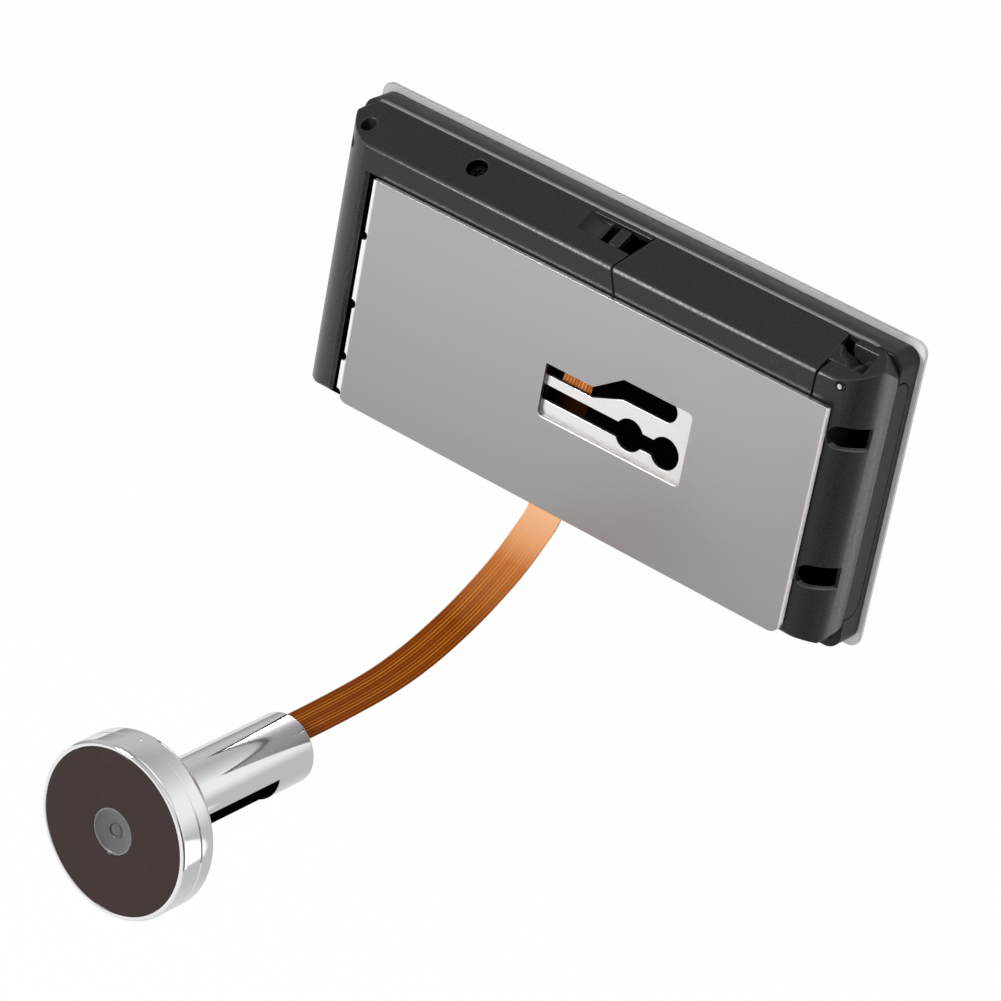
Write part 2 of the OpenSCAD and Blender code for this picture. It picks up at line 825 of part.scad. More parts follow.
module battery_cells() {
    nub_l = 1;
    color([0.2, 0.3, 0.5])
    for (i = [0:2])
        translate([cell_x0, cell_y, cell_z[i]]) rotate([0, 90, 0]) {
            cylinder(h = cell_l - nub_l, r = cell_d / 2);
            cylinder(h = cell_l, r = 1.9);
        }
}

module contact_springs() {
    color([0.8, 0.8, 0.78])
    for (i = [0:2])
        translate([bay_x0, cell_y, cell_z[i]]) rotate([0, 90, 0]) {
            cylinder(h = contact_t, r = contact_half);
            cylinder(h = spring_l + contact_t, r1 = 3.2, r2 = 2);
        }
}

module contact_plates() {
    color([0.8, 0.8, 0.78])
    for (i = [0:2])
        span([bay_x1 - contact_t, cell_y - contact_half, cell_z[i] - contact_half],
             [bay_x1, cell_y + contact_half, cell_z[i] + contact_half]);
}

// Outline of the door plate in X and Z, with round lower corners
module plate_outline() {
    r = plate_corner_r;
    translate([plate_x0, plate_z0 + r]) square([plate_w, plate_h - r]);
    translate([plate_x0 + r, plate_z0]) square([plate_w - 2 * r, plate_h]);
    for (x = [plate_x0 + r, plate_x1 - r]) translate([x, plate_z0 + r]) circle(r);
}

// Outline of the plate's window: a rectangle whose left part starts lower
module window_outline() {
    low_z1 = win_z1 - win_step_h;
    r = win_corner_r;
    polygon([
        [win_x0 + r, win_z0], [win_x1 - r, win_z0], [win_x1, win_z0 + r],
        [win_x1, win_z1 - r], [win_x1 - r, win_z1], [win_step_x + win_step_w, win_z1],
        [win_step_x, low_z1], [win_x0, low_z1], [win_x0, win_z0 + r]
    ]);
    for (p = [[win_x0, win_z0, 1, 1], [win_x1, win_z0, -1, 1], [win_x1, win_z1, -1, -1]])
        translate([p[0] + p[2] * r, p[1] + p[3] * r]) circle(r);
}

module back_plate() {
    color([0.66, 0.65, 0.65])
    difference() {
        union() {
            along_y(0, plate_t) plate_outline();
            for (h = hooks)
                span([plate_x0 - hook_out, 0, plate_z1 - h[1]],
                     [plate_x0 - hook_out + plate_t, hook_l, plate_z1 - h[0]]);
        }
        along_y(-1, plate_t + 1) window_outline();
        for (h = hooks)
            for (z = [plate_z1 - h[0] + relief_r, plate_z1 - h[1] - relief_r])
                rod(plate_x0 - 0.2, z, relief_r, -1, plate_t + 1);
    }
}

// Bright plate behind the window, with the fixing slot and the ribbon slot
module slotted_plate() {
    r = screw_slot_w / 2;
    bend_x0 = win_step_x - 0.4;
    bend_x1 = win_step_x + win_step_w;
    hi_z = win_z1 + 0.05 - ribbon_slot_end_d / 2;
    y0 = plate_t;
    y1 = plate_t + slotted_t;
    color([0.92, 0.9, 0.9])
    difference() {
        along_y(y0, y1) translate([win_x0 - slotted_rim, win_z0 - slotted_rim])
            square([win_x1 - win_x0 + 2 * slotted_rim, win_z1 - win_z0 + 2 * slotted_rim]);
        // Fixing slot, open at its left end, with two keyholes
        span([win_x0 - slotted_rim - 1, 0, screw_slot_z - r],
             [keyhole_x1, y1 + 1, screw_slot_z + r]);
        for (i = [0, 1])
            rod(keyhole_x1 - i * screw_pitch, screw_slot_z, keyhole_d / 2, 0, y1 + 1);
        // Ribbon slot, which steps up half-way along and ends round
        along_y(0, y1 + 1) {
            translate([win_x0 - slotted_rim - 1, ribbon_slot_z - ribbon_slot_h / 2])
                square([bend_x0 - win_x0 + slotted_rim + 1, ribbon_slot_h]);
            polygon([
                [bend_x0 - eps, ribbon_slot_z - ribbon_slot_h / 2],
                [bend_x1 + eps, hi_z - ribbon_slot_end_d / 2],
                [bend_x1 + eps, hi_z + ribbon_slot_end_d / 2],
                [bend_x0 - eps, ribbon_slot_z + ribbon_slot_h / 2]
            ]);
            translate([bend_x1, hi_z - ribbon_slot_end_d / 2])
                square([ribbon_slot_end_x - ribbon_slot_end_d / 2 - bend_x1, ribbon_slot_end_d]);
            translate([ribbon_slot_end_x - ribbon_slot_end_d / 2, hi_z])
                circle(ribbon_slot_end_d / 2);
        }
    }
}

module head_ring() {
    r = ring_d / 2;
    edge = 0.5;
    back_edge = 1.4;
    groove_y = face_y + ring_groove_y;
    color([0.85, 0.85, 0.87])
    turned() difference() {
        polygon([
            [0, face_y], [r - edge, face_y], [r - edge * 0.29, face_y + edge * 0.29],
            [r, face_y + edge], [r, groove_y - 0.25], [r - 0.25, groove_y],
            [r, groove_y + 0.25], [r, ring_y1 - back_edge],
            [r - back_edge * 0.13, ring_y1 - back_edge * 0.5],
            [r - back_edge * 0.5, ring_y1 - back_edge * 0.13],
            [r - back_edge, ring_y1], [0, ring_y1]
        ]);
        translate([0, face_y - 1]) square([disc_d / 2 + fit, disc_t + ring_lip + 1]);
        translate([0, face_y]) square([seat_r, board_seat_y - face_y]);
        translate([0, face_y]) square([board_seat_r, ring_l - ring_back_t]);
        translate([0, face_y]) square([neck_r, ring_l + 1]);
    }
}

module face_disc() {
    color([0.26, 0.22, 0.21])
    turned() translate([window_d / 2 + fit, face_y + ring_lip])
        square([(disc_d - window_d) / 2 - fit, disc_t]);
}

module lens_window() {
    color([0.4, 0.38, 0.39])
    turned() translate([0, face_y + ring_lip]) square([window_d / 2, disc_t - 0.2]);
}

module lens_holder() {
    y0 = face_y + ring_lip + disc_t - 0.2;
    color([0.05, 0.05, 0.05])
    turned() difference() {
        translate([0, y0]) square([holder_r, board_seat_y - board_t - y0]);
        translate([0, y0 - 1]) square([lens_r + fit, 1.7]);
        translate([0, y0]) square([lens_r - 0.4, far]);
    }
}

module camera_lens() {
    y0 = face_y + ring_lip + disc_t - 0.1;
    color([0.3, 0.35, 0.4])
    turned() intersection() {
        translate([0, y0]) square([lens_r, 0.6]);
        translate([0, y0 + 3]) circle(3);
    }
}

module image_sensor() {
    y1 = board_seat_y - board_t;
    s = 0.75;
    color([0.1, 0.1, 0.12])
    span([mid_x - s, y1 - 0.5, head_z - s], [mid_x + s, y1, head_z + s]);
}

module sensor_board() {
    color([0.1, 0.35, 0.2])
    turned() translate([0, board_seat_y - board_t]) square([seat_r - 0.1, board_t]);
}

module head_connector() {
    h = 3;
    z = ribbon_head_route[0][1];
    color([0.9, 0.88, 0.8])
    span([mid_x - ribbon_w / 2 - 0.6, board_seat_y, z - h / 2],
         [mid_x + ribbon_w / 2 + 0.6, board_seat_y + head_conn_t, z + h / 2]);
}

module head_barrel() {
    shoulder_y = ring_y1 + gasket_t;
    edge = 1.2;
    land_y = barrel_y1 - end_land_l;
    slot_z = ribbon_head_route[0][1];
    color([0.85, 0.85, 0.87])
    difference() {
        turned() difference() {
            polygon([
                [0, neck_y0], [neck_r, neck_y0], [neck_r, shoulder_y], [barrel_r, shoulder_y],
                [barrel_r, land_y - end_groove_w], [barrel_r - 0.25, land_y - end_groove_w],
                [barrel_r - 0.25, land_y], [barrel_r, land_y],
                [barrel_r, barrel_y1 - edge], [barrel_r - edge * 0.3, barrel_y1 - edge * 0.3],
                [barrel_r - edge, barrel_y1], [0, barrel_y1]
            ]);
            translate([0, neck_y0 - 1]) square([bore_r, barrel_y1 - end_block_l - neck_y0 + 1]);
        }
        // Slot in the side
        translate([mid_x, 0, head_z]) rotate([0, -barrel_slot_angle, 0])
            span([0, barrel_slot_y0, -barrel_slot_w / 2],
                 [barrel_r + 1, barrel_slot_y0 + barrel_slot_l, barrel_slot_w / 2]);
        // Way out for the ribbon, and the tapped holes beside it
        span([mid_x - ribbon_w / 2 - 0.4, barrel_y1 - end_block_l - 1, slot_z - 1],
             [mid_x + ribbon_w / 2 + 0.4, barrel_y1 + 1, slot_z + 1]);
        for (x = [-1, 1])
            rod(mid_x + x * screw_pitch / 2, tap_z, tap_d / 2, barrel_y1 - end_block_l + 1, barrel_y1 + 1);
    }
}

module head_gasket() {
    color([0.1, 0.1, 0.1])
    turned() translate([barrel_r + gasket_gap, ring_y1])
        square([ring_d / 2 - gasket_inset - barrel_r - gasket_gap, gasket_t]);
}

// The strip's outline on both sides of a middle line, in Y and Z
function unit(v) = v / norm(v);
function across(p, i) =
    let (a = p[max(i - 1, 0)], b = p[min(i + 1, len(p) - 1)], d = unit(b - a))
    [-d[1], d[0]];
function side_of(p, t) = [for (i = [0:len(p) - 1]) p[i] + across(p, i) * t / 2];
function reversed(p) = [for (i = [len(p) - 1:-1:0]) p[i]];

module strip(route) {
    along_x(mid_x - ribbon_w / 2, mid_x + ribbon_w / 2)
        polygon(concat(side_of(route, ribbon_t), reversed(side_of(route, -ribbon_t))));
}

module ribbon_inner() {
    color([0.75, 0.4, 0.12]) strip(ribbon_in_route);
}

module ribbon() {
    color([0.75, 0.4, 0.12]) strip(ribbon_free_route);
}

module ribbon_head() {
    color([0.75, 0.4, 0.12]) strip(ribbon_head_route);
}

front_panel();
front_case();
lcd_module();
lcd_gasket();
lcd_flex();
main_board();
board_parts();
button_switch();
view_button();
speaker();
ribbon_connector();
connector_latch();
rear_shell();
case_screws();
side_screw();
battery_cover();
cover_hinge_pin();
cover_latch();
battery_cells();
contact_springs();
contact_plates();
back_plate();
slotted_plate();
head_ring();
face_disc();
lens_window();
lens_holder();
camera_lens();
image_sensor();
sensor_board();
head_connector();
head_barrel();
head_gasket();
ribbon_inner();
ribbon();
ribbon_head();
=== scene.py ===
import json
import math

import bmesh
import bpy
from mathutils import Matrix, Vector

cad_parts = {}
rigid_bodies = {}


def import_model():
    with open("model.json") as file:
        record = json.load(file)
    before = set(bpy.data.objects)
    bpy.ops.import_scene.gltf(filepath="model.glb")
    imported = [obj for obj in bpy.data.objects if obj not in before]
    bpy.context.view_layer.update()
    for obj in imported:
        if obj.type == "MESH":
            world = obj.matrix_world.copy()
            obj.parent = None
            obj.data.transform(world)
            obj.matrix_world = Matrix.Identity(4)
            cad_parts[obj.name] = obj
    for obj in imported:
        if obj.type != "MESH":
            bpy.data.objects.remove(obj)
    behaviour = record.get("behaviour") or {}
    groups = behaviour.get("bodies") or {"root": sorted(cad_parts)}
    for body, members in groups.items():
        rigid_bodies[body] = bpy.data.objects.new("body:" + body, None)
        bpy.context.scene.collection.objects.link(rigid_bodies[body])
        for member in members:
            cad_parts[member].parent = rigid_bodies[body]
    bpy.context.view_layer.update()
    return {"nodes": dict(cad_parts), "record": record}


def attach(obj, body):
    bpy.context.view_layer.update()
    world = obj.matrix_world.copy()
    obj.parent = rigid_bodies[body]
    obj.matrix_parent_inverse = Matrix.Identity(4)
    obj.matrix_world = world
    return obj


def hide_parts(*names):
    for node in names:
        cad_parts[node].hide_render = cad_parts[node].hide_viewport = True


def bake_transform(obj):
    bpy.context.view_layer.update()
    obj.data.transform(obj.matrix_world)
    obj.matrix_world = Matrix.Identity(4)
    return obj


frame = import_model()
nodes = frame["nodes"]
bodies = frame["record"]["behaviour"]["bodies"]
body_of_node = {node: body for body, members in bodies.items() for node in members}
slot_of_node = {node: cad.data.materials[0].name for node, cad in nodes.items()}


# Camera, in metres

CAMERA_PLACE = (0.45871, -0.70354, 0.42267)
CAMERA_RIGHT = Vector((0.768721, 0.617656, 0.166038))
CAMERA_UP = Vector((-0.413518, 0.281925, 0.865749))
CAMERA_SENSOR = 36
CAMERA_LENS = 179.82
CAMERA_NEAR, CAMERA_FAR = 0.05, 30


# Sizes and places on the part, in millimetres

MM = 0.001
ANYWHERE = math.inf

# The free ribbon with its route in Y and Z, the inner ribbon's lean, the height below which its film is
# painted shade, and the dark sheet beside it that is painted shade
RIBBON_W, RIBBON_T = 8, 0.3
RIBBON_TRACKS = 11
RIBBON_YZ = (
    (2.5, -28), (2.45, -28.7), (2.1, -29.6), (1.1, -30.9), (-0.6, -32.5), (-3.5, -35.2), (-7, -38),
    (-12, -41.1), (-17.6, -44.1), (-24, -46.8), (-30.5, -49), (-37.5, -50.6), (-44.5, -51.5),
    (-54, -52), (-62, -52.2), (-67.6, -52.2),
)
RIBBON_STEPS = 5
LEAN_RISE, LEAN_SHIFT, LEAN_NARROWING = 26, 1.45, 0.09
LIT_FILM_Z = -1.0
SHADE_SHEET_LOW, SHADE_SHEET_HIGH = (-9, 3.2, -3.9), (-2.7, 3.4, 5.4)

# The mouldings and the door plate, with places on them as limits along the axes
SPLIT_Y = 10.7
TOP_SCREW = Vector((-33.2, 7.24, 29.12))
SLOPE_OUT = Vector((0, -0.477, 0.879))
SINK_R, SINK_SEEN_R, SCREW_HOLE_R = (2.4, 2.8), 2.15, 2.75
SINK_DEPTH = (-0.8, 0.2)
WINDOW_FLOOR = {"x": (-12, 33), "y": (1.6, 3.2), "z": (-12, 12)}
LEFT_POCKET_FLOOR = {"x": (-54.6, -50), "y": (1.6, 3.2)}
LEFT_POCKET_WALL = {"x": (-55, -54.6), "y": (-ANYWHERE, 3.2)}
FINGER_NOTCH = {"x": (-8, -1), "z": (28, ANYWHERE)}
UPPER_END_SLOT = {"x": (56, 63.5), "y": (2, 8), "z": (11.8, 13)}
LOWER_END_SLOT = {"x": (56, 63.5), "y": (2, 8), "z": (-17.4, -16.2)}
RIGHT_SKIRT = {"x": (64, ANYWHERE), "y": (SPLIT_Y, ANYWHERE)}
PLATE_WINDOW = {"x": (-6, 31), "z": (-10, 8)}
HOOK_EDGE_X = -50.85

# The ridge along the upper seam
RIDGE_R, RIDGE_SIDES = 0.42, 14
RIDGE_Y, RIDGE_TIP_Y = SPLIT_Y + 0.43, SPLIT_Y + 0.45
RIDGE_Z, RIDGE_SHOULDER_Z, RIDGE_TIP_Z = 30.97, 30.9, 30.5
RIDGE_TIP_X, RIDGE_SHOULDER_X, RIDGE_STATIONS = (-60.9, 58.6), (-60.2, 57.9), range(-59, 58, 4)

# The front panel, each rectangle as X limits, Z limits and corner radius
PANEL_BACK_Y, PANEL_FRONT_Y = 16.9, 17.7
PANEL_RECT = (-65, 65, -32.3, 32.3, 2.5)
BORDER_RECT = (-61.6, 61.6, -29.2, 29.2, 3)
DISPLAY_RECT = (-56.2, 3.0, -18.6, 23.6, 0.8)
PANEL_FIT, PANE_BACK_GAP, PANE_DEPTH = 0.05, 0.1, 0.25
BUTTON_X, BUTTON_Z, BUTTON_HOLE_R = 31.0, -20.4, 5.4

# The camera head's axis and face, and the ring with the seats inside it
HEAD_Z = -55.6
FACE_Y = -115.0
RING_R, RING_BACK_Y = 16.95, -106.4
RIM_ROUND, BACK_ROUND = 0.75, 1.4
GROOVE_Y, GROOVE_DEPTH, GROOVE_HALF_W = -110.3, 0.25, 0.22
GROOVE_EASE = 0.12
DISC_SEAT_R, DISC_SEAT_Y = 15.9, -113.4
HEAD_SEAT_R, HEAD_SEAT_Y = 12.5, -110.4
BOARD_SEAT_R, BOARD_SEAT_Y = 11.0, -107.9
LIP_IN, LIP_BACK = 0.1, 0.12
NECK_HOLE_R = 6.52
HEAD_SIDES = 160

# The barrel, with its side slot turned by an angle in degrees, the plug's pass, the taps, and the radius
# inside which the bore is painted shade
BARREL_R, BORE_R, NECK_R, SHADED_BORE_R = 6.9, 5.6, 6.5, 6.0
BARREL_END_Y, BLOCK_Y, SHOULDER_Y, NECK_Y = -67.6, -75.6, -105.4, RING_BACK_Y - 2
BARREL_ROUND = 0.7
SLOT_Y0, SLOT_Y1, SLOT_HALF_W, SLOT_REACH, SLOT_TURN = -104.4, -77.4, 4, 8, 34
PLUG_HALF_W, PLUG_Z0, PLUG_Z1 = 4.4, -53.2, -51.2
TAP_X, TAP_Y, TAP_Z, TAP_R = 4.2, BLOCK_Y + 1, HEAD_Z - 1.6, 1.25
CUT_PAST = 1

# The lens window, whose cup is an outline of radius and depth
WINDOW_Y = FACE_Y + 0.1
WINDOW_RIM_R = 4.1
CUP_SIDES = 96
CUP_OUTLINE = (
    (4.5, 1.3), (4.5, 0.1), (4.4, 0), (4.22, 0), (4.12, 0.1), (4.0, 0.16), (2.0, 0.8), (1.6, 0.84),
    (1.52, 0.72), (1.4, 0.68), (1.3, 0.74), (1.22, 1.0), (0.8, 0.9), (0.4, 0.85), (0.0, 0.83),
    (0.0, 1.3),
)


# Shapes, meshes and pieces

# Points closer than this in metres are one, and edges sharper than this in degrees are rounded
MERGE_GAP = 1e-6
SHARP_EDGE = 32

# The radius of the circle that an outline is turned round, in millimetres
TURN_R = 1.0


def new_object(name, data):
    made = bpy.data.objects.new(name, data)
    bpy.context.scene.collection.objects.link(made)
    return made


def mesh_of(name, shape):
    """Turn a finished shape into a mesh, and let the shape go."""
    mesh = bpy.data.meshes.new(name)
    shape.to_mesh(mesh)
    shape.free()
    return mesh


def new_piece(name, shape, material, body, slot, *replaced):
    """Make a piece of a finished shape, with its finish, body and the CAD nodes it stands for; the slot
    argument is not used.
    """
    piece = new_object(name, mesh_of(name, shape))
    piece.data.materials.append(material)
    if body:
        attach(piece, body)
    if replaced:
        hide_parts(*replaced)
    return piece


def smooth_by_angle(piece, degrees):
    piece.data.shade_smooth()
    piece.data.set_sharp_from_angle(angle=math.radians(degrees))


def evaluated_mesh(piece):
    """A new mesh of what an object's curve or modifiers make."""
    depsgraph = bpy.context.evaluated_depsgraph_get()
    return bpy.data.meshes.new_from_object(piece.evaluated_get(depsgraph))


def plain_mesh(piece):
    """Turn what a piece's modifiers make into its own mesh."""
    made = evaluated_mesh(piece)
    piece.modifiers.clear()
    old = piece.data
    piece.data = made
    bpy.data.meshes.remove(old)
    made.name = piece.name


def shape_of_helper(helper):
    """The shape that a helper object makes; the helper goes."""
    mesh = evaluated_mesh(helper)
    shape = bmesh.new()
    shape.from_mesh(mesh)
    bpy.data.batch_remove((mesh, helper, helper.data))
    return shape


def round_edges(piece, width, segments=2, finish=None):
    """Round the sharp edges, with a finish of their own where one is given."""
    bevel = piece.modifiers.new("eased_edges", "BEVEL")
    bevel.width = width * MM
    bevel.segments = segments
    bevel.limit_method = "ANGLE"
    bevel.angle_limit = math.radians(SHARP_EDGE)
    bevel.use_clamp_overlap = False
    bevel.miter_outer = "MITER_ARC"
    if finish:
        piece.data.materials.append(finish)
        bevel.material = len(piece.data.materials) - 1
    level = piece.modifiers.new("level_faces", "WEIGHTED_NORMAL")
    level.keep_sharp = True
    level.weight = 100
    plain_mesh(piece)


def stood_along_y(x, y, z):
    """The turn and place that lay a shape's Z axis along minus Y, with its middle at a point."""
    return Matrix(((1, 0, 0, x * MM), (0, 0, -1, y * MM), (0, 1, 0, z * MM), (0, 0, 0, 1)))


def box_shape(low, high):
    shape = bmesh.new()
    bmesh.ops.create_cube(shape, size=1)
    low, high = Vector(low) * MM, Vector(high) * MM
    bmesh.ops.scale(shape, vec=high - low, verts=shape.verts)
    bmesh.ops.translate(shape, vec=(low + high) / 2, verts=shape.verts)
    return shape


def rod_shape(x, z, radius, y0, y1):
    shape = bmesh.new()
    bmesh.ops.create_cone(shape, cap_ends=True, segments=32, radius1=radius * MM, radius2=radius * MM,
                          depth=(y1 - y0) * MM)
    bmesh.ops.transform(shape, matrix=stood_along_y(x, (y0 + y1) / 2, z), verts=shape.verts)
    return shape


def cut_away(piece, *cutters):
    """Take simple shapes out of a piece."""
    for shape in cutters:
        helper = new_object("cutter", mesh_of("cutter", shape))
        cut = piece.modifiers.new("cut", "BOOLEAN")
        cut.operation = "DIFFERENCE"
        cut.solver = "EXACT"
        cut.object = helper
        plain_mesh(piece)
        bpy.data.batch_remove((helper, helper.data))


def paint_faces(piece, finish, chosen):
    """Give a finish to the faces that a test of their middle and normal picks."""
    piece.data.materials.append(finish)
    for face in piece.data.polygons:
        if chosen(face.center / MM, face.normal):
            face.material_index = len(piece.data.materials) - 1


def within(middle, **limits):
    """Whether a point lies between the limits given for its axes."""
    return all(low < getattr(middle, axis) < high for axis, (low, high) in limits.items())


def inset(rect, gap):
    x0, x1, z0, z1, radius = rect
    return x0 + gap, x1 - gap, z0 + gap, z1 - gap, radius - gap


def round_rect(x0, x1, z0, z1, radius, steps=8):
    corners = ((x1 - radius, z1 - radius, 0), (x0 + radius, z1 - radius, 90),
               (x0 + radius, z0 + radius, 180), (x1 - radius, z0 + radius, 270))
    loop = []
    for x, z, start in corners:
        for k in range(steps + 1):
            angle = math.radians(start + 90 * k / steps)
            loop.append((x + radius * math.cos(angle), z + radius * math.sin(angle)))
    return loop


def round_hole(x, z, radius, steps=64):
    turns = [2 * math.pi * k / steps for k in range(steps)]
    return [(x + radius * math.cos(a), z + radius * math.sin(a)) for a in turns]


def cut_sheet(loops, y0, y1):
    """A flat sheet in X and Z between two planes, from an outline and its holes."""
    outline = bpy.data.curves.new("sheet_outline", "CURVE")
    outline.dimensions = "2D"
    outline.fill_mode = "BOTH"
    outline.extrude = (y1 - y0) / 2 * MM
    for loop in loops:
        spline = outline.splines.new("POLY")
        spline.points.add(len(loop) - 1)
        spline.use_cyclic_u = True
        for point, (x, z) in zip(spline.points, loop):
            point.co = (x * MM, z * MM, 0, 1)
    shape = shape_of_helper(new_object("sheet_outline", outline))
    bmesh.ops.transform(shape, matrix=stood_along_y(0, (y0 + y1) / 2, 0), verts=shape.verts)
    bmesh.ops.remove_doubles(shape, verts=shape.verts, dist=MERGE_GAP)
    bmesh.ops.dissolve_limit(shape, angle_limit=0.01, verts=shape.verts, edges=shape.edges)
    bmesh.ops.recalc_face_normals(shape, faces=shape.faces)
    return shape


def arc(r, y, radius, start, end, steps):
    """Points of an outline on a circle about a given radius and Y, between two angles in degrees."""
    turns = [math.radians(start + (end - start) * k / steps) for k in range(steps + 1)]
    return [(r + radius * math.cos(a), y + radius * math.sin(a)) for a in turns]


def sweep_tree(name, edges_are_path):
    """Geometry Nodes that sweep a circle along the object's own edges, or those edges round a circle."""
    tree = bpy.data.node_groups.new(name, "GeometryNodeTree")
    for label, kind in (("Edges", "NodeSocketGeometry"), ("Circle Radius", "NodeSocketFloat"),
                        ("Circle Steps", "NodeSocketInt"), ("Finish", "NodeSocketMaterial")):
        tree.interface.new_socket(label, in_out="INPUT", socket_type=kind)
    tree.interface.new_socket("Swept", in_out="OUTPUT", socket_type="NodeSocketGeometry")
    given = tree.nodes.new("NodeGroupInput")
    edges = tree.nodes.new("GeometryNodeMeshToCurve")
    circle = tree.nodes.new("GeometryNodeCurvePrimitiveCircle")
    sweep = tree.nodes.new("GeometryNodeCurveToMesh")
    whole = tree.nodes.new("GeometryNodeRealizeInstances")
    paint = tree.nodes.new("GeometryNodeSetMaterial")
    result = tree.nodes.new("NodeGroupOutput")
    path, outline = (edges, circle) if edges_are_path else (circle, edges)
    sweep.inputs["Fill Caps"].default_value = edges_are_path
    tree.links.new(given.outputs["Edges"], edges.inputs["Mesh"])
    tree.links.new(given.outputs["Circle Radius"], circle.inputs["Radius"])
    tree.links.new(given.outputs["Circle Steps"], circle.inputs["Resolution"])
    tree.links.new(path.outputs["Curve"], sweep.inputs["Curve"])
    tree.links.new(outline.outputs["Curve"], sweep.inputs["Profile Curve"])
    tree.links.new(sweep.outputs["Mesh"], whole.inputs["Geometry"])
    tree.links.new(whole.outputs["Geometry"], paint.inputs["Geometry"])
    tree.links.new(given.outputs["Finish"], paint.inputs["Material"])
    tree.links.new(paint.outputs["Geometry"], result.inputs["Swept"])
    return tree


turner = sweep_tree("turned_piece", False)
beader = sweep_tree("seam_bead", True)


def swept_shape(tree, points, edges, radius, steps, finish):
    """The shape that a sweep makes of points and edges; its inputs are set by their identifiers."""
    mesh = bpy.data.meshes.new("sweep_edges")
    mesh.from_pydata(points, edges, [])
    helper = new_object("sweep_edges", mesh)
    modifier = helper.modifiers.new("sweep", "NODES")
    modifier.node_group = tree
    values = {"Circle Radius": radius * MM, "Circle Steps": steps, "Finish": finish}
    for item in tree.interface.items_tree:
        if item.name in values:
            modifier[item.identifier] = values[item.name]
    return shape_of_helper(helper)


def turned_shape(outline, finish, steps):
    """A closed outline of radius and Y, turned round the camera head's axis."""
    count = len(outline)
    points = [((r - TURN_R) * MM, -y * MM, 0) for r, y in outline]
    edges = [(i, (i + 1) % count) for i in range(count)]
    shape = swept_shape(turner, points, edges, TURN_R, steps, finish)
    stand = Matrix(((1, 0, 0, 0), (0, 0, 1, 0), (0, -1, 0, HEAD_Z * MM), (0, 0, 0, 1)))
    bmesh.ops.transform(shape, matrix=stand, verts=shape.verts)
    bmesh.ops.remove_doubles(shape, verts=shape.verts, dist=MERGE_GAP)
    bmesh.ops.recalc_face_normals(shape, faces=shape.faces)
    return shape


def bead_shape(path, radius, sides, finish):
    """A round bead along a path."""
    points = [Vector(p) * MM for p in path]
    edges = [(i, i + 1) for i in range(len(path) - 1)]
    shape = swept_shape(beader, points, edges, radius, sides, finish)
    bmesh.ops.remove_doubles(shape, verts=shape.verts, dist=MERGE_GAP / 10)
    bmesh.ops.recalc_face_normals(shape, faces=shape.faces)
    return shape


def smooth_route(points, steps):
    """Points on a smooth curve through the given ones."""
    ends = [points[0] * 2 - points[1]] + points + [points[-1] * 2 - points[-2]]
    curve = []
    for i in range(1, len(ends) - 2):
        a, b, c, d = ends[i - 1:i + 3]
        for k in range(steps):
            t = k / steps
            curve.append(0.5 * (2 * b + (c - a) * t + (2 * a - 5 * b + 4 * c - d) * t * t
                                + (3 * b - a - 3 * c + d) * t ** 3))
    return curve + [points[-1]]


def ribbon_section(half, edge):
    """Points round the ribbon's section: how far across, and out as a share of half its thickness."""
    flat, quarter = half - edge * 0.4, half * 0.5
    return [(-flat, 1), (-quarter, 1), (0, 1), (quarter, 1), (flat, 1), (half, 0.3), (half, -0.3),
            (flat, -1), (quarter, -1), (0, -1), (-quarter, -1), (-flat, -1), (-half, -0.3), (-half, 0.3)]


def ribbon_shape(route, width, thickness):
    """A flat strip along a route in Y and Z, with a UV map that runs along it in metres."""
    edge = thickness / 2
    section = ribbon_section(width / 2, edge)
    shape = bmesh.new()
    layer = shape.loops.layers.uv.new("along")
    place = {}
    rings = []
    run = 0.0
    for i, point in enumerate(route):
        along = (route[min(i + 1, len(route) - 1)] - route[max(i - 1, 0)]).normalized()
        out = Vector((0, -along.z, along.y))
        if i:
            run += (point - route[i - 1]).length
        ring = []
        for x, side in section:
            vert = shape.verts.new(point + Vector((x, 0, 0)) + out * side * edge)
            place[vert] = (x / width + 0.5, run)
            ring.append(vert)
        rings.append(ring)
    for one, two in zip(rings, rings[1:]):
        for k in range(len(section)):
            n = (k + 1) % len(section)
            shape.faces.new((one[k], one[n], two[n], two[k]))
    shape.faces.new(rings[0])
    shape.faces.new(reversed(rings[-1]))
    bmesh.ops.recalc_face_normals(shape, faces=shape.faces)
    for face in shape.faces:
        for loop in face.loops:
            loop[layer].uv = place[loop.vert]
    return shape


# What the finishes are made with

def new_finish(name, colour, rough, metal=0.0):
    finish = bpy.data.materials.new(name)
    finish.use_nodes = True
    shader = finish.node_tree.nodes["Principled BSDF"]
    shader.inputs["Base Color"].default_value = (*colour, 1)
    shader.inputs["Roughness"].default_value = rough
    shader.inputs["Metallic"].default_value = metal
    return finish, finish.node_tree, shader


def place_on(tree, scale=(1, 1, 1), kind="Object"):
    coords = tree.nodes.new("ShaderNodeTexCoord")
    mapping = tree.nodes.new("ShaderNodeMapping")
    mapping.inputs["Scale"].default_value = scale
    tree.links.new(coords.outputs[kind], mapping.inputs["Vector"])
    return mapping.outputs["Vector"]


def axes_of(tree, place):
    """The parts of a place, by the names of their axes."""
    split = tree.nodes.new("ShaderNodeSeparateXYZ")
    tree.links.new(place, split.inputs["Vector"])
    return split.outputs


def noise(tree, place, scale, detail, rough=0.5):
    made = tree.nodes.new("ShaderNodeTexNoise")
    made.inputs["Scale"].default_value = scale
    made.inputs["Detail"].default_value = detail
    made.inputs["Roughness"].default_value = rough
    tree.links.new(place, made.inputs["Vector"])
    return made.outputs["Fac"]


def spread(tree, value, low, high, start=0.3, end=0.7):
    """Bring a value from one range to another, held at both ends."""
    made = tree.nodes.new("ShaderNodeMapRange")
    made.inputs["From Min"].default_value = start
    made.inputs["From Max"].default_value = end
    made.inputs["To Min"].default_value = low
    made.inputs["To Max"].default_value = high
    tree.links.new(value, made.inputs["Value"])
    return made.outputs["Result"]


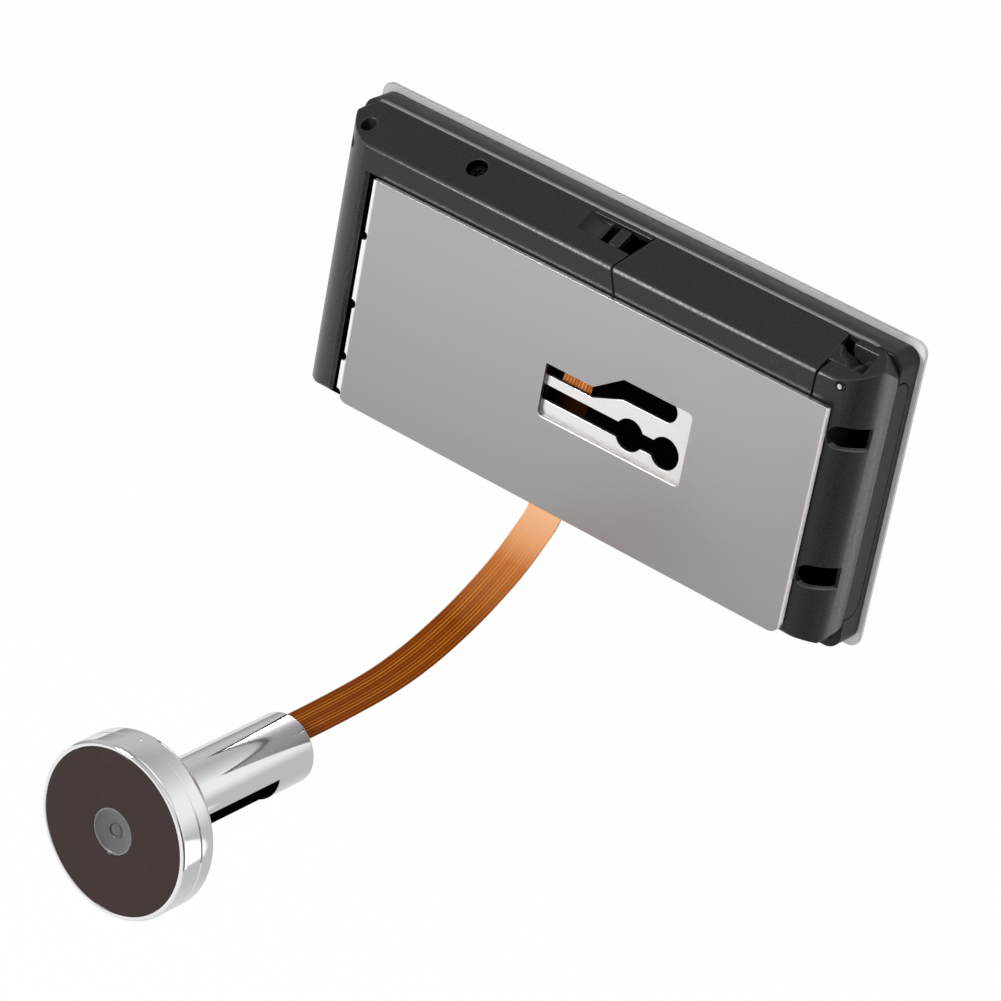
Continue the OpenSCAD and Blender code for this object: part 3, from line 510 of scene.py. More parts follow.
def blend_colours(tree, factor, first, second):
    made = tree.nodes.new("ShaderNodeMix")
    made.data_type = "RGBA"
    tree.links.new(factor, made.inputs["Factor"])
    for socket, colour in ((made.inputs[6], first), (made.inputs[7], second)):
        if isinstance(colour, tuple):
            socket.default_value = (*colour, 1)
        else:
            tree.links.new(colour, socket)
    return made.outputs[2]


def combine(tree, operation, first, second):
    """Work out one value from two, each a number or a node's output."""
    made = tree.nodes.new("ShaderNodeMath")
    made.operation = operation
    for socket, value in zip(made.inputs, (first, second)):
        if isinstance(value, (int, float)):
            socket.default_value = value
        else:
            tree.links.new(value, socket)
    return made.outputs[0]


def weighed(tree, first, share, second):
    """Add a share of one value to the rest of another."""
    return combine(tree, "ADD", combine(tree, "MULTIPLY", first, share),
                   combine(tree, "MULTIPLY", second, 1 - share))


def raise_surface(tree, shader, height, strength, distance):
    made = tree.nodes.new("ShaderNodeBump")
    made.inputs["Strength"].default_value = strength
    made.inputs["Distance"].default_value = distance
    tree.links.new(height, made.inputs["Height"])
    tree.links.new(made.outputs["Normal"], shader.inputs["Normal"])


def faded(tree, colour, fades):
    """Blend a colour into others along the part's axes.

    Each fade gives its axis, where it is full, where it is gone, and its colour.
    """
    for axis, full, gone, other in fades:
        factor = spread(tree, axes_of(tree, place_on(tree))[axis], 1, 0, full * MM, gone * MM)
        colour = blend_colours(tree, factor, colour, other)
    return colour


def moulded_plastic(name, dark, light, rough, grain=2600.0, depth=0.25, gloss=0.35, fades=()):
    """Plastic with a fine moulded grain, and a broad faint change of tone."""
    finish, tree, shader = new_finish(name, dark, rough)
    place = place_on(tree)
    fine = noise(tree, place, grain, detail=1.0)
    broad = noise(tree, place, scale=25.0, detail=2.0)
    speckle = weighed(tree, fine, 0.6, broad)
    colour = faded(tree, blend_colours(tree, spread(tree, speckle, 0, 1), dark, light), fades)
    tree.links.new(colour, shader.inputs["Base Color"])
    tree.links.new(spread(tree, fine, rough - 0.05, rough + 0.06), shader.inputs["Roughness"])
    shader.inputs["Specular IOR Level"].default_value = gloss
    raise_surface(tree, shader, fine, depth, distance=0.06 * MM)
    return finish


def brushed_metal(name, dark, light, rough, stretch, fades=()):
    """Metal with fine streaks; the pattern is packed closer along the axes with a larger scale."""
    finish, tree, shader = new_finish(name, dark, rough, metal=1.0)
    streaks = noise(tree, place_on(tree, stretch), scale=40.0, detail=4.0, rough=0.6)
    broad = noise(tree, place_on(tree), scale=18.0, detail=2.0)
    tone = weighed(tree, streaks, 0.4, broad)
    colour = faded(tree, blend_colours(tree, spread(tree, tone, 0, 1), dark, light), fades)
    tree.links.new(colour, shader.inputs["Base Color"])
    tree.links.new(spread(tree, streaks, rough - 0.04, rough + 0.05), shader.inputs["Roughness"])
    raise_surface(tree, shader, streaks, strength=0.05, distance=0.03 * MM)
    return finish


def polished_metal(name, colour, rough):
    """Mirror-bright metal with faint smears and a slight waviness."""
    finish, tree, shader = new_finish(name, colour, rough, metal=1.0)
    place = place_on(tree)
    smear = noise(tree, place, scale=90.0, detail=3.0)
    tree.links.new(spread(tree, smear, rough, rough + 0.05), shader.inputs["Roughness"])
    wave = noise(tree, place, scale=220.0, detail=1.0)
    raise_surface(tree, shader, wave, strength=0.02, distance=0.05 * MM)
    return finish


def glossy_face(name, dark, light, rough, coat=0.4, gloss=0.5):
    """A glossy painted or glass face with a little dust."""
    finish, tree, shader = new_finish(name, dark, rough)
    shader.inputs["Specular IOR Level"].default_value = gloss
    shader.inputs["Coat Weight"].default_value = coat
    shader.inputs["Coat Roughness"].default_value = 0.02
    dust = noise(tree, place_on(tree), scale=500.0, detail=4.0, rough=0.7)
    tone = blend_colours(tree, spread(tree, dust, 0, 1, start=0.45, end=0.75), dark, light)
    tree.links.new(tone, shader.inputs["Base Color"])
    tree.links.new(spread(tree, dust, rough, rough + 0.06), shader.inputs["Roughness"])
    return finish


def polyimide(name, kind, film_tones, copper_tones, painted_light_ends=()):
    """Film with copper tracks that run along it.

    Each painted light end is a painted highlight from the film's start: it gives its strength, how far
    along the film it reaches, and its colour.
    """
    finish, tree, shader = new_finish(name, film_tones[0], 0.3)
    on_uv = kind == "UV"
    per_width = 1 if on_uv else 1 / (RIBBON_W * MM)
    lane_scale = 5 if on_uv else 600
    axes = axes_of(tree, place_on(tree, (per_width, per_width, per_width), kind))
    wave = combine(tree, "SINE", combine(tree, "MULTIPLY", axes["X"], 2 * math.pi * RIBBON_TRACKS), 0)
    lanes = noise(tree, place_on(tree, (lane_scale, 0, 0), kind), scale=1.0, detail=0.0)
    track = combine(tree, "MULTIPLY", spread(tree, wave, 0, 1, start=0.2, end=0.95),
                    spread(tree, lanes, 0.35, 1, start=0.36, end=0.6))
    film = blend_colours(tree, spread(tree, lanes, 0, 1), *film_tones)
    copper = blend_colours(tree, spread(tree, lanes, 0, 1), *copper_tones)
    tone = blend_colours(tree, track, film, copper)
    for strength, reach, colour in painted_light_ends:
        painted_light_share = spread(tree, axes["Y"], strength, 0, start=1 * MM, end=reach * MM)
        tone = blend_colours(tree, painted_light_share, tone, colour)
    tree.links.new(tone, shader.inputs["Base Color"])
    tree.links.new(spread(tree, track, 0.5, 0.4, start=0, end=1), shader.inputs["Roughness"])
    shader.inputs["Specular IOR Level"].default_value = 0.04
    shader.inputs["Specular Tint"].default_value = (1.0, 0.5, 0.15, 1)
    raise_surface(tree, shader, track, strength=0.08, distance=0.03 * MM)
    return finish


# Finishes of the monitor's mouldings

case_plastic = moulded_plastic(
    "grained_black_plastic", (0.0200, 0.0186, 0.0195), (0.0250, 0.0234, 0.0245),
    rough=0.27, grain=2400.0, depth=0.085, gloss=0.32)
smooth_plastic = moulded_plastic(
    "smooth_black_plastic", (0.0135, 0.0128, 0.0132), (0.0165, 0.0156, 0.0162),
    rough=0.34, grain=900.0, depth=0.02, gloss=0.22)
# The finger notch's ramp: a little lighter than the case as painted light, fading to near black towards
# the left as painted shade.
notch_painted_light_and_shade = moulded_plastic(
    "notch_ramp_painted_light_and_shade", (0.026, 0.025, 0.026), (0.032, 0.031, 0.032),
    rough=0.34, grain=2400.0, depth=0.1, gloss=0.32, fades=(("X", -6.6, -3.6, (0.001, 0.001, 0.001)),))
# Pale plastic as painted light: the seam ridge's painted highlight, and painted light on the left
# pocket's wall and the end slots' lower walls.
painted_light_plastic = moulded_plastic(
    "plastic_painted_light", (0.15, 0.147, 0.145), (0.20, 0.196, 0.193), rough=0.3)
# Lighter plastic for the eased edges of the shell, cover and latch: a painted highlight along the edges.
edge_painted_highlight = moulded_plastic(
    "edge_plastic_painted_highlight", (0.030, 0.029, 0.029), (0.040, 0.039, 0.039), rough=0.32)
# Near-black painted shade for the seams, the gap under the panel, the screw hole, the floors behind the
# plate's openings, the barrel's bore, the slot's core and the window's dark sheet.
painted_shade_black = moulded_plastic(
    "recess_black_painted_shade", (0.0008, 0.0008, 0.0008), (0.0015, 0.0015, 0.0015), rough=0.9, gloss=0.0)
black_rubber = moulded_plastic(
    "black_seal_rubber", (0.012, 0.012, 0.012), (0.020, 0.020, 0.020),
    rough=0.7, grain=1800.0, depth=0.3, gloss=0.3)


# Finishes of the plates, screws and camera head

# Satin plate steel, darker towards the bottom as painted shade, with painted highlights along its left
# and right edges.
plate_steel_painted_light = brushed_metal(
    "satin_plate_steel_painted_light", (0.435, 0.416, 0.420), (0.465, 0.446, 0.450), rough=0.42, stretch=(1, 30, 30),
    fades=(("Z", -27, 18, (0.355, 0.338, 0.343)), ("X", -50.75, -50.35, (0.93, 0.91, 0.90)),
           ("X", 57.0, 56.7, (0.93, 0.91, 0.90))))
bright_metal = brushed_metal(
    "bright_plate_steel", (0.80, 0.78, 0.77), (0.88, 0.86, 0.85), rough=0.30, stretch=(1, 30, 30))
# Bright steel on the door plate's eased edges, outer thickness and hook edges: a painted highlight.
edge_steel_painted_highlight = brushed_metal(
    "plate_edge_painted_highlight", (0.72, 0.70, 0.69), (0.80, 0.78, 0.77), rough=0.35, stretch=(30, 30, 30))
# Darker steel on the walls of the door plate's window and on the window plate's thickness: painted shade.
edge_steel_painted_shade = brushed_metal(
    "plate_edge_painted_shade", (0.16, 0.15, 0.145), (0.24, 0.23, 0.22), rough=0.5, stretch=(30, 30, 30))
pin_metal = brushed_metal(
    "turned_pin_steel", (0.55, 0.55, 0.55), (0.72, 0.72, 0.72), rough=0.25, stretch=(30, 1, 30))
# Near-black steel: painted shade on the top screw, whose head sits deep in its hole; it also darkens the
# hinge pin's rounded edges.
dark_steel_painted_shade = brushed_metal(
    "screw_steel_painted_shade", (0.012, 0.012, 0.012), (0.03, 0.03, 0.03), rough=0.5, stretch=(30, 1, 30))
chrome = polished_metal("polished_chrome", (0.82, 0.82, 0.83), rough=0.03)
face_black = glossy_face(
    "brown_black_face_gloss", (0.030, 0.0160, 0.0140), (0.034, 0.0185, 0.0165),
    rough=0.04, coat=0.0, gloss=0.22)
window_grey = moulded_plastic(
    "grey_lens_window", (0.100, 0.094, 0.097), (0.118, 0.112, 0.115),
    rough=0.3, grain=300.0, depth=0.01, gloss=0.4)
window_rim = moulded_plastic(
    "pale_window_rim", (0.17, 0.165, 0.165), (0.21, 0.205, 0.205),
    rough=0.25, grain=2000.0, depth=0.03, gloss=0.5)
lens_glass = glossy_face("coated_lens_glass", (0.02, 0.03, 0.05), (0.03, 0.04, 0.07), rough=0.03)


# Finishes of the front panel

# Light grey clear rim, turning near white towards the right end as painted light.
panel_rim_with_painted_light = moulded_plastic(
    "clear_panel_rim", (0.50, 0.50, 0.505), (0.58, 0.58, 0.585),
    rough=0.12, grain=4000.0, depth=0.02, gloss=0.5, fades=(("X", 64, 60, (0.93, 0.93, 0.94)),))
panel_front = moulded_plastic(
    "frosted_panel_border", (0.52, 0.52, 0.525), (0.58, 0.58, 0.585),
    rough=0.12, grain=4000.0, depth=0.02, gloss=0.5)
# Grey edge finish of the rim, turning pale towards the right end as painted light.
panel_edge_with_painted_light = moulded_plastic(
    "polished_panel_edge", (0.20, 0.20, 0.205), (0.27, 0.27, 0.275),
    rough=0.15, grain=4000.0, depth=0.02, gloss=0.5, fades=(("X", 64, 60, (0.62, 0.62, 0.63)),))
panel_black = glossy_face(
    "black_panel_back_paint", (0.006, 0.006, 0.007), (0.010, 0.010, 0.011), rough=0.05)
display_glass = glossy_face(
    "dark_display_glass", (0.006, 0.007, 0.010), (0.010, 0.011, 0.016), rough=0.06)
button_silver = brushed_metal(
    "silver_button_metal", (0.55, 0.55, 0.56), (0.65, 0.65, 0.66), rough=0.32, stretch=(30, 1, 1))


# Finishes of the ribbon and the inner pieces

amber_tones = ((0.19, 0.036, 0.002), (0.24, 0.050, 0.003))
copper_tones = ((0.46, 0.145, 0.018), (0.60, 0.22, 0.032))
# The free ribbon turns pale towards its end at the plate as a painted highlight.
ribbon_film = polyimide(
    "amber_ribbon_film", "UV", amber_tones, copper_tones,
    painted_light_ends=((0.75, 30, (0.95, 0.34, 0.10)), (0.8, 13, (1.0, 0.60, 0.34))))
flat_film = polyimide("amber_flat_film", "Object", amber_tones, copper_tones)
# Lit and shaded copies of the inner ribbon's film: painted light above LIT_FILM_Z, and painted shade
# below it that fades to near black towards the left.
film_painted_light = polyimide(
    "flat_film_painted_light", "Object", ((0.42, 0.11, 0.02), (0.58, 0.17, 0.035)),
    ((0.90, 0.40, 0.13), (1.0, 0.52, 0.21)))
film_painted_shade = moulded_plastic(
    "flat_film_painted_shade", (0.012, 0.003, 0.0008), (0.022, 0.006, 0.0015),
    rough=0.6, gloss=0.0, fades=(("X", -2.2, 1.5, (0.001, 0.0008, 0.0006)),))
board_mask = moulded_plastic(
    "green_board_mask", (0.01, 0.07, 0.03), (0.02, 0.10, 0.045),
    rough=0.3, grain=900.0, depth=0.1, gloss=0.5)
black_resin = moulded_plastic(
    "black_chip_resin", (0.010, 0.010, 0.011), (0.018, 0.018, 0.019), rough=0.5, grain=3000.0, depth=0.2)
ivory_resin = moulded_plastic(
    "ivory_plug_resin", (0.62, 0.56, 0.42), (0.70, 0.64, 0.50), rough=0.45, grain=2500.0, depth=0.1)
cell_sleeve = moulded_plastic(
    "blue_cell_sleeve", (0.03, 0.06, 0.16), (0.04, 0.08, 0.20),
    rough=0.3, grain=600.0, depth=0.05, gloss=0.5)
switch_steel = brushed_metal(
    "switch_cap_steel", (0.55, 0.55, 0.54), (0.66, 0.66, 0.65), rough=0.35, stretch=(1, 30, 30))


# Camera

def add_camera():
    turn = Matrix((CAMERA_RIGHT, CAMERA_UP, CAMERA_RIGHT.cross(CAMERA_UP))).transposed()
    data = bpy.data.cameras.new("photo_camera")
    data.sensor_width = CAMERA_SENSOR
    data.lens = CAMERA_LENS
    data.clip_start = CAMERA_NEAR
    data.clip_end = CAMERA_FAR
    camera = new_object("photo_camera", data)
    camera.matrix_world = Matrix.Translation(CAMERA_PLACE) @ turn.to_4x4()
    bpy.context.scene.camera = camera


add_camera()


# Ribbon between the monitor and the camera head

ribbon_route = smooth_route([Vector((0, y, z)) * MM for y, z in RIBBON_YZ], RIBBON_STEPS)
ribbon = new_piece("free_ribbon", ribbon_shape(ribbon_route, RIBBON_W * MM, RIBBON_T * MM), ribbon_film,
                   None, "flex_orange", "ribbon")
smooth_by_angle(ribbon, 50)
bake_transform(ribbon)


# Mouldings and plates, which keep the CAD form with eased edges

def eased(name, node, material, ease, segments=2, edge=None, reshape=None):
    """A merged copy of a CAD node whose sharp edges are rounded to a width in millimetres."""
    shape = bmesh.new()
    shape.from_mesh(nodes[node].data)
    bmesh.ops.remove_doubles(shape, verts=shape.verts, dist=MERGE_GAP)
    if reshape:
        reshape(shape)
    bmesh.ops.dissolve_limit(shape, angle_limit=0.02, verts=shape.verts, edges=shape.edges)
    for face in shape.faces:
        face.material_index = 0
    piece = new_piece(name, shape, material, body_of_node[node], slot_of_node[node], node)
    smooth_by_angle(piece, 40)
    if ease:
        round_edges(piece, ease, segments, edge)
    return piece


def from_top_screw(point):
    """How far a point lies out of the slope at the top screw, and its offset across the screw's axis."""
    offset = point - TOP_SCREW
    height = offset.dot(SLOPE_OUT)
    return height, offset - SLOPE_OUT * height


def narrow_screw_sink(shape):
    """Draw the top screw's sink in, to the hole's own look."""
    for vert in shape.verts:
        height, across = from_top_screw(vert.co / MM)
        if SINK_DEPTH[0] < height < SINK_DEPTH[1] and SINK_R[0] < across.length < SINK_R[1]:
            vert.co -= across * (1 - SINK_SEEN_R / across.length) * MM


def on_seam(middle, normal):
    """The faces in the seam between the rear mouldings and the front case."""
    faces_up = normal.y > -0.2 and normal.z > 0.5
    return middle.y > SPLIT_Y - 0.3 and (normal.y > 0.3 or faces_up)


def unlit(middle, normal):
    """The shell's faces that get painted shade: in the seam, in the screw's hole and behind the openings
    of the plate.
    """
    height, across = from_top_screw(middle)
    in_screw_hole = height < -0.2 and across.length < SCREW_HOLE_R
    behind_plate = within(middle, **WINDOW_FLOOR) or within(middle, **LEFT_POCKET_FLOOR)
    return in_screw_hole or on_seam(middle, normal) or behind_plate


def on_painted_light_wall(middle, normal):
    """The wall of the left pocket and the lower walls of the end slots, which get painted light."""
    in_end_slot = within(middle, **UPPER_END_SLOT) or within(middle, **LOWER_END_SLOT)
    on_pocket_wall = within(middle, **LEFT_POCKET_WALL) and normal.x > 0.5
    return on_pocket_wall or (in_end_slot and normal.z > 0.5)


def on_notch_ramp(middle, normal):
    return within(middle, **FINGER_NOTCH) and normal.x > 0.03


def on_right_skirt(middle, normal):
    return within(middle, **RIGHT_SKIRT) and normal.x > 0.9


def under_panel(middle, normal):
    return middle.y > PANEL_BACK_Y - 0.35


def on_thickness(middle, normal):
    return abs(normal.y) < 0.3


def on_painted_highlight_edge(middle, normal):
    on_hook_edge = middle.x < HOOK_EDGE_X and normal.y < -0.2
    return on_thickness(middle, normal) or on_hook_edge


def on_plate_window(middle, normal):
    return on_thickness(middle, normal) and within(middle, **PLATE_WINDOW)


# The shell, cover and latch get a painted highlight on their eased edges.
shell = eased("rear_shell_moulding", "rear_shell", case_plastic, ease=0.18, edge=edge_painted_highlight,
              reshape=narrow_screw_sink)
tray = eased("front_case_moulding", "front_case", smooth_plastic, ease=0.3)
cover = eased("battery_cover_moulding", "battery_cover", case_plastic, ease=0.18, edge=edge_painted_highlight)
eased("cover_latch_moulding", "cover_latch", case_plastic, ease=0.15, edge=edge_painted_highlight)
door_plate = eased("door_plate", "back_plate", plate_steel_painted_light, ease=0.1, edge=edge_steel_painted_highlight)
slotted = eased("window_plate", "slotted_plate", bright_metal, ease=0.06)
eased("dark_face_disc", "face_disc", face_black, ease=0.1)

# Painted shade in the shell's seam, in the screw hole and behind the plate's openings.
paint_faces(shell, painted_shade_black, unlit)
# Painted light on the left pocket's wall and the end slots' lower walls.
paint_faces(shell, painted_light_plastic, on_painted_light_wall)
# Painted light and shade on the finger notch's ramp.
paint_faces(shell, notch_painted_light_and_shade, on_notch_ramp)
paint_faces(shell, smooth_plastic, on_right_skirt)
# Painted shade in the cover's seam.
paint_faces(cover, painted_shade_black, on_seam)
# Painted shade along the front case's edge under the panel.
paint_faces(tray, painted_shade_black, under_panel)
# Painted highlight on the door plate's outer thickness and on the hooks' edges.
paint_faces(door_plate, edge_steel_painted_highlight, on_painted_highlight_edge)
# Painted shade on the walls of the door plate's window and on the window plate's thickness.
paint_faces(door_plate, edge_steel_painted_shade, on_plate_window)
paint_faces(slotted, edge_steel_painted_shade, on_thickness)


# Camera head

ring_outline = [(DISC_SEAT_R, DISC_SEAT_Y), (DISC_SEAT_R, FACE_Y + LIP_BACK),
                (DISC_SEAT_R + LIP_IN, FACE_Y)]
ring_outline += arc(RING_R - RIM_ROUND, FACE_Y + RIM_ROUND, RIM_ROUND, 270, 360, 10)
ring_outline += [(RING_R, GROOVE_Y - GROOVE_HALF_W), (RING_R - GROOVE_EASE, GROOVE_Y - GROOVE_EASE),
                 (RING_R - GROOVE_DEPTH, GROOVE_Y),
                 (RING_R - GROOVE_EASE, GROOVE_Y + GROOVE_EASE), (RING_R, GROOVE_Y + GROOVE_HALF_W)]
ring_outline += arc(RING_R - BACK_ROUND, RING_BACK_Y - BACK_ROUND, BACK_ROUND, 0, 90, 8)
ring_outline += [(NECK_HOLE_R, RING_BACK_Y), (NECK_HOLE_R, BOARD_SEAT_Y), (BOARD_SEAT_R, BOARD_SEAT_Y),
                 (BOARD_SEAT_R, HEAD_SEAT_Y), (HEAD_SEAT_R, HEAD_SEAT_Y), (HEAD_SEAT_R, DISC_SEAT_Y)]
ring = new_piece("chrome_ring", turned_shape(ring_outline, chrome, HEAD_SIDES), chrome, "door_side",
                 slot_of_node["head_ring"], "head_ring")
smooth_by_angle(ring, 40)


def in_shaded_bore(middle, normal):
    return middle.y < BLOCK_Y + 0.1 and math.hypot(middle.x, middle.z - HEAD_Z) < SHADED_BORE_R


def on_window_rim(middle, normal):
    return math.hypot(middle.x, middle.z - HEAD_Z) > WINDOW_RIM_R


barrel_outline = [(BORE_R, NECK_Y), (NECK_R, NECK_Y), (NECK_R, SHOULDER_Y), (BARREL_R, SHOULDER_Y)]
barrel_outline += arc(BARREL_R - BARREL_ROUND, BARREL_END_Y - BARREL_ROUND, BARREL_ROUND, 0, 90, 8)
barrel_outline += [(0, BARREL_END_Y), (0, BLOCK_Y), (BORE_R, BLOCK_Y)]
barrel = new_piece("chrome_barrel", turned_shape(barrel_outline, chrome, HEAD_SIDES), chrome, "door_side",
                   slot_of_node["head_barrel"], "head_barrel")
side_slot = box_shape((0, SLOT_Y0, -SLOT_HALF_W), (SLOT_REACH, SLOT_Y1, SLOT_HALF_W))
slot_stand = Matrix.Translation((0, 0, HEAD_Z * MM)) @ Matrix.Rotation(math.radians(SLOT_TURN), 4, "Y")
bmesh.ops.transform(side_slot, matrix=slot_stand, verts=side_slot.verts)
plug_pass = box_shape((-PLUG_HALF_W, BLOCK_Y - CUT_PAST, PLUG_Z0),
                      (PLUG_HALF_W, BARREL_END_Y + CUT_PAST, PLUG_Z1))
taps = [rod_shape(x, TAP_Z, TAP_R, TAP_Y, BARREL_END_Y + CUT_PAST) for x in (-TAP_X, TAP_X)]
cut_away(barrel, side_slot, plug_pass, *taps)
smooth_by_angle(barrel, 30)
# Painted shade inside the barrel's bore.
paint_faces(barrel, painted_shade_black, in_shaded_bore)

# A black core inside the barrel's side slot, as painted shade.
slot_shade_core = new_piece("barrel_slot_shade_core", rod_shape(0, HEAD_Z, NECK_R, SLOT_Y0, SLOT_Y1), painted_shade_black,
                 "door_side", slot_of_node["head_barrel"])
smooth_by_angle(slot_shade_core, 40)

cup_outline = [(radius, WINDOW_Y + depth) for radius, depth in CUP_OUTLINE]
cup = new_piece("lens_window_cup", turned_shape(cup_outline, window_grey, CUP_SIDES), window_grey,
                "door_side", slot_of_node["lens_window"], "lens_window")
smooth_by_angle(cup, 35)
paint_faces(cup, window_rim, on_window_rim)


# Front panel: a clear rim round a dark face, with the display behind its window

def faces_front(middle, normal):
    return normal.y > 0.5


rim_loops = [round_rect(*PANEL_RECT), round_rect(*BORDER_RECT)]
rim = new_piece("clear_panel_rim", cut_sheet(rim_loops, PANEL_BACK_Y, PANEL_FRONT_Y), panel_rim_with_painted_light,
                "monitor", slot_of_node["front_panel"], "front_panel")
smooth_by_angle(rim, 40)
round_edges(rim, 0.12, finish=panel_edge_with_painted_light)
paint_faces(rim, panel_front, faces_front)

face_loops = [round_rect(*inset(BORDER_RECT, PANEL_FIT)), round_rect(*DISPLAY_RECT),
              round_hole(BUTTON_X, BUTTON_Z, BUTTON_HOLE_R)]
face_sheet = cut_sheet(face_loops, PANEL_BACK_Y + PANEL_FIT, PANEL_FRONT_Y - PANEL_FIT)
face = new_piece("panel_face", face_sheet, panel_black, "monitor", slot_of_node["front_panel"],
                 "front_panel")
smooth_by_angle(face, 40)
round_edges(face, 0.06)

pane_loop = round_rect(*inset(DISPLAY_RECT, PANEL_FIT))
pane_sheet = cut_sheet([pane_loop], PANEL_BACK_Y + PANE_BACK_GAP, PANEL_FRONT_Y - PANE_DEPTH)
pane = new_piece("display_pane", pane_sheet, display_glass, "monitor", slot_of_node["front_panel"],
                 "front_panel")
smooth_by_angle(pane, 40)
round_edges(pane, 0.1)


# Ridge of the front case along the upper seam, pale as a painted highlight

ridge_tips = [(x, RIDGE_TIP_Y, RIDGE_TIP_Z) for x in RIDGE_TIP_X]
ridge_shoulders = [(x, RIDGE_Y, RIDGE_SHOULDER_Z) for x in RIDGE_SHOULDER_X]
ridge_run = [(x, RIDGE_Y, RIDGE_Z) for x in RIDGE_STATIONS]
ridge_path = [ridge_tips[0], ridge_shoulders[0], *ridge_run, ridge_shoulders[1], ridge_tips[1]]
ridge_bead = bead_shape(ridge_path, RIDGE_R, RIDGE_SIDES, painted_light_plastic)
ridge = new_piece("seam_ridge", ridge_bead, painted_light_plastic, "monitor", slot_of_node["front_case"])
smooth_by_angle(ridge, 50)


# Dark sheet beside the ribbon in the connector's window, as painted shade over the board behind it

shade_sheet = new_piece("window_shade_sheet", box_shape(SHADE_SHEET_LOW, SHADE_SHEET_HIGH), painted_shade_black, "monitor",
                  slot_of_node["rear_shell"])
smooth_by_angle(shade_sheet, 40)


# Small pieces that keep the CAD form

def lean_ribbon(shape):
    """Lean the strip a little to the right on its way up to the connector."""
    for vert in shape.verts:
        way = min(max((vert.co.z / MM + LEAN_RISE) / LEAN_RISE, 0), 1)
        vert.co.x = vert.co.x * (1 - LEAN_NARROWING * way) + LEAN_SHIFT * way * MM


def in_plate_shade(middle, normal):
    return middle.z < LIT_FILM_Z


eased("hinge_pin_rod", "cover_hinge_pin", pin_metal, ease=0.3, segments=3, edge=dark_steel_painted_shade)
eased("case_screw_set", "case_screws", pin_metal, ease=0.08)
# The top screw is near black as painted shade in its hole.
eased("top_screw", "side_screw", dark_steel_painted_shade, ease=0.08)
eased("silver_button", "view_button", button_silver, ease=0.25)
eased("seal_ring", "head_gasket", black_rubber, ease=0.15)
# The inner ribbon gets painted light above LIT_FILM_Z and painted shade below it.
inner_ribbon = eased("inner_ribbon", "ribbon_inner", film_painted_light, ease=0, reshape=lean_ribbon)
paint_faces(inner_ribbon, film_painted_shade, in_plate_shade)
eased("head_ribbon", "ribbon_head", flat_film, ease=0)

for node, material in {
    "lcd_module": display_glass, "lcd_gasket": black_rubber, "lcd_flex": flat_film,
    "main_board": board_mask, "board_parts": black_resin, "button_switch": switch_steel,
    "speaker": black_resin, "ribbon_connector": ivory_resin, "connector_latch": black_resin,
    "battery_cells": cell_sleeve, "contact_springs": bright_metal, "contact_plates": bright_metal,
    "lens_holder": black_resin, "camera_lens": lens_glass, "image_sensor": black_resin,
    "sensor_board": board_mask, "head_connector": ivory_resin,
}.items():
    nodes[node].data.materials[0] = material


# Stage, in metres

FLOOR_REACH, FLOOR_Z = 6, -0.45
FLOOR_GLOW = 0.97
ROOM_LIGHT = 0.5
PART_MIDDLE = (0, 0, 0)


def seen_rays(tree):
    """What tells the rays that see the white room apart from those that show in shiny surfaces."""
    path = tree.nodes.new("ShaderNodeLightPath")
    plain = combine(tree, "MAXIMUM", path.outputs["Is Camera Ray"], path.outputs["Is Transmission Ray"])
    return plain, path.outputs["Is Glossy Ray"]


def show_mix(tree, factor, first, second):
    """Let a material show a mix of two shaders."""
    mix = tree.nodes.new("ShaderNodeMixShader")
    tree.links.new(factor, mix.inputs[0])
    tree.links.new(first.outputs[0], mix.inputs[1])
    tree.links.new(second.outputs[0], mix.inputs[2])
    tree.links.new(mix.outputs[0], tree.nodes["Material Output"].inputs["Surface"])


def add_floor():
    shape = bmesh.new()
    bmesh.ops.create_grid(shape, x_segments=1, y_segments=1, size=FLOOR_REACH)
    bmesh.ops.translate(shape, verts=shape.verts, vec=(0, 0, FLOOR_Z))
    floor = new_object("pale_floor", mesh_of("pale_floor", shape))
    finish, tree, shader = new_finish("pale_floor_paint", (0.88, 0.88, 0.88), 0.8)
    shader.inputs["Specular IOR Level"].default_value = 0.1
    plain, shiny = seen_rays(tree)
    axes = axes_of(tree, place_on(tree))
    aside = spread(tree, combine(tree, "ADD", axes["X"], axes["Y"]), 1.0, 0.6, start=-0.5, end=0.5)
    glow = tree.nodes.new("ShaderNodeEmission")
    tree.links.new(combine(tree, "MAXIMUM", plain, aside), glow.inputs["Strength"])
    seen = combine(tree, "MULTIPLY", combine(tree, "MAXIMUM", plain, shiny), FLOOR_GLOW)
    show_mix(tree, seen, shader, glow)
    floor.data.materials.append(finish)


def add_room():
    """A white room, in reflections darker overhead, on the left and low down."""
    world = bpy.data.worlds.new("white_room")
    bpy.context.scene.world = world
    world.use_nodes = True
    tree = world.node_tree
    back = tree.nodes["Background"]
    back.inputs["Color"].default_value = (1, 1, 1, 1)
    plain, shiny = seen_rays(tree)
    axes = axes_of(tree, place_on(tree, kind="Generated"))
    overhead = spread(tree, axes["Z"], 1.0, 0.6, start=0.55, end=0.9)
    sideways = spread(tree, axes["X"], 0.6, 1.0, start=-0.2, end=0.4)
    horizon = spread(tree, axes["Z"], 0.6, 1.0, start=0.0, end=0.3)
    room = combine(tree, "MULTIPLY", combine(tree, "MULTIPLY", overhead, sideways), horizon)
    shown = combine(tree, "MAXIMUM", plain, combine(tree, "MULTIPLY", shiny, room))
    lit = spread(tree, combine(tree, "MAXIMUM", plain, shiny), ROOM_LIGHT, 0, start=0, end=1)
    tree.links.new(combine(tree, "MAXIMUM", shown, lit), back.inputs["Strength"])


def add_lamp(name, place, size, watts):
    """A soft box turned to the part's middle."""
    data = bpy.data.lights.new(name, "AREA")
    data.shape = "RECTANGLE"
    data.size, data.size_y = size
    data.energy = watts
    lamp = new_object(name, data)
    lamp.location = place
    lamp.rotation_euler = (Vector(PART_MIDDLE) - Vector(place)).to_track_quat("-Z", "Y").to_euler()
    lamp.visible_camera = False


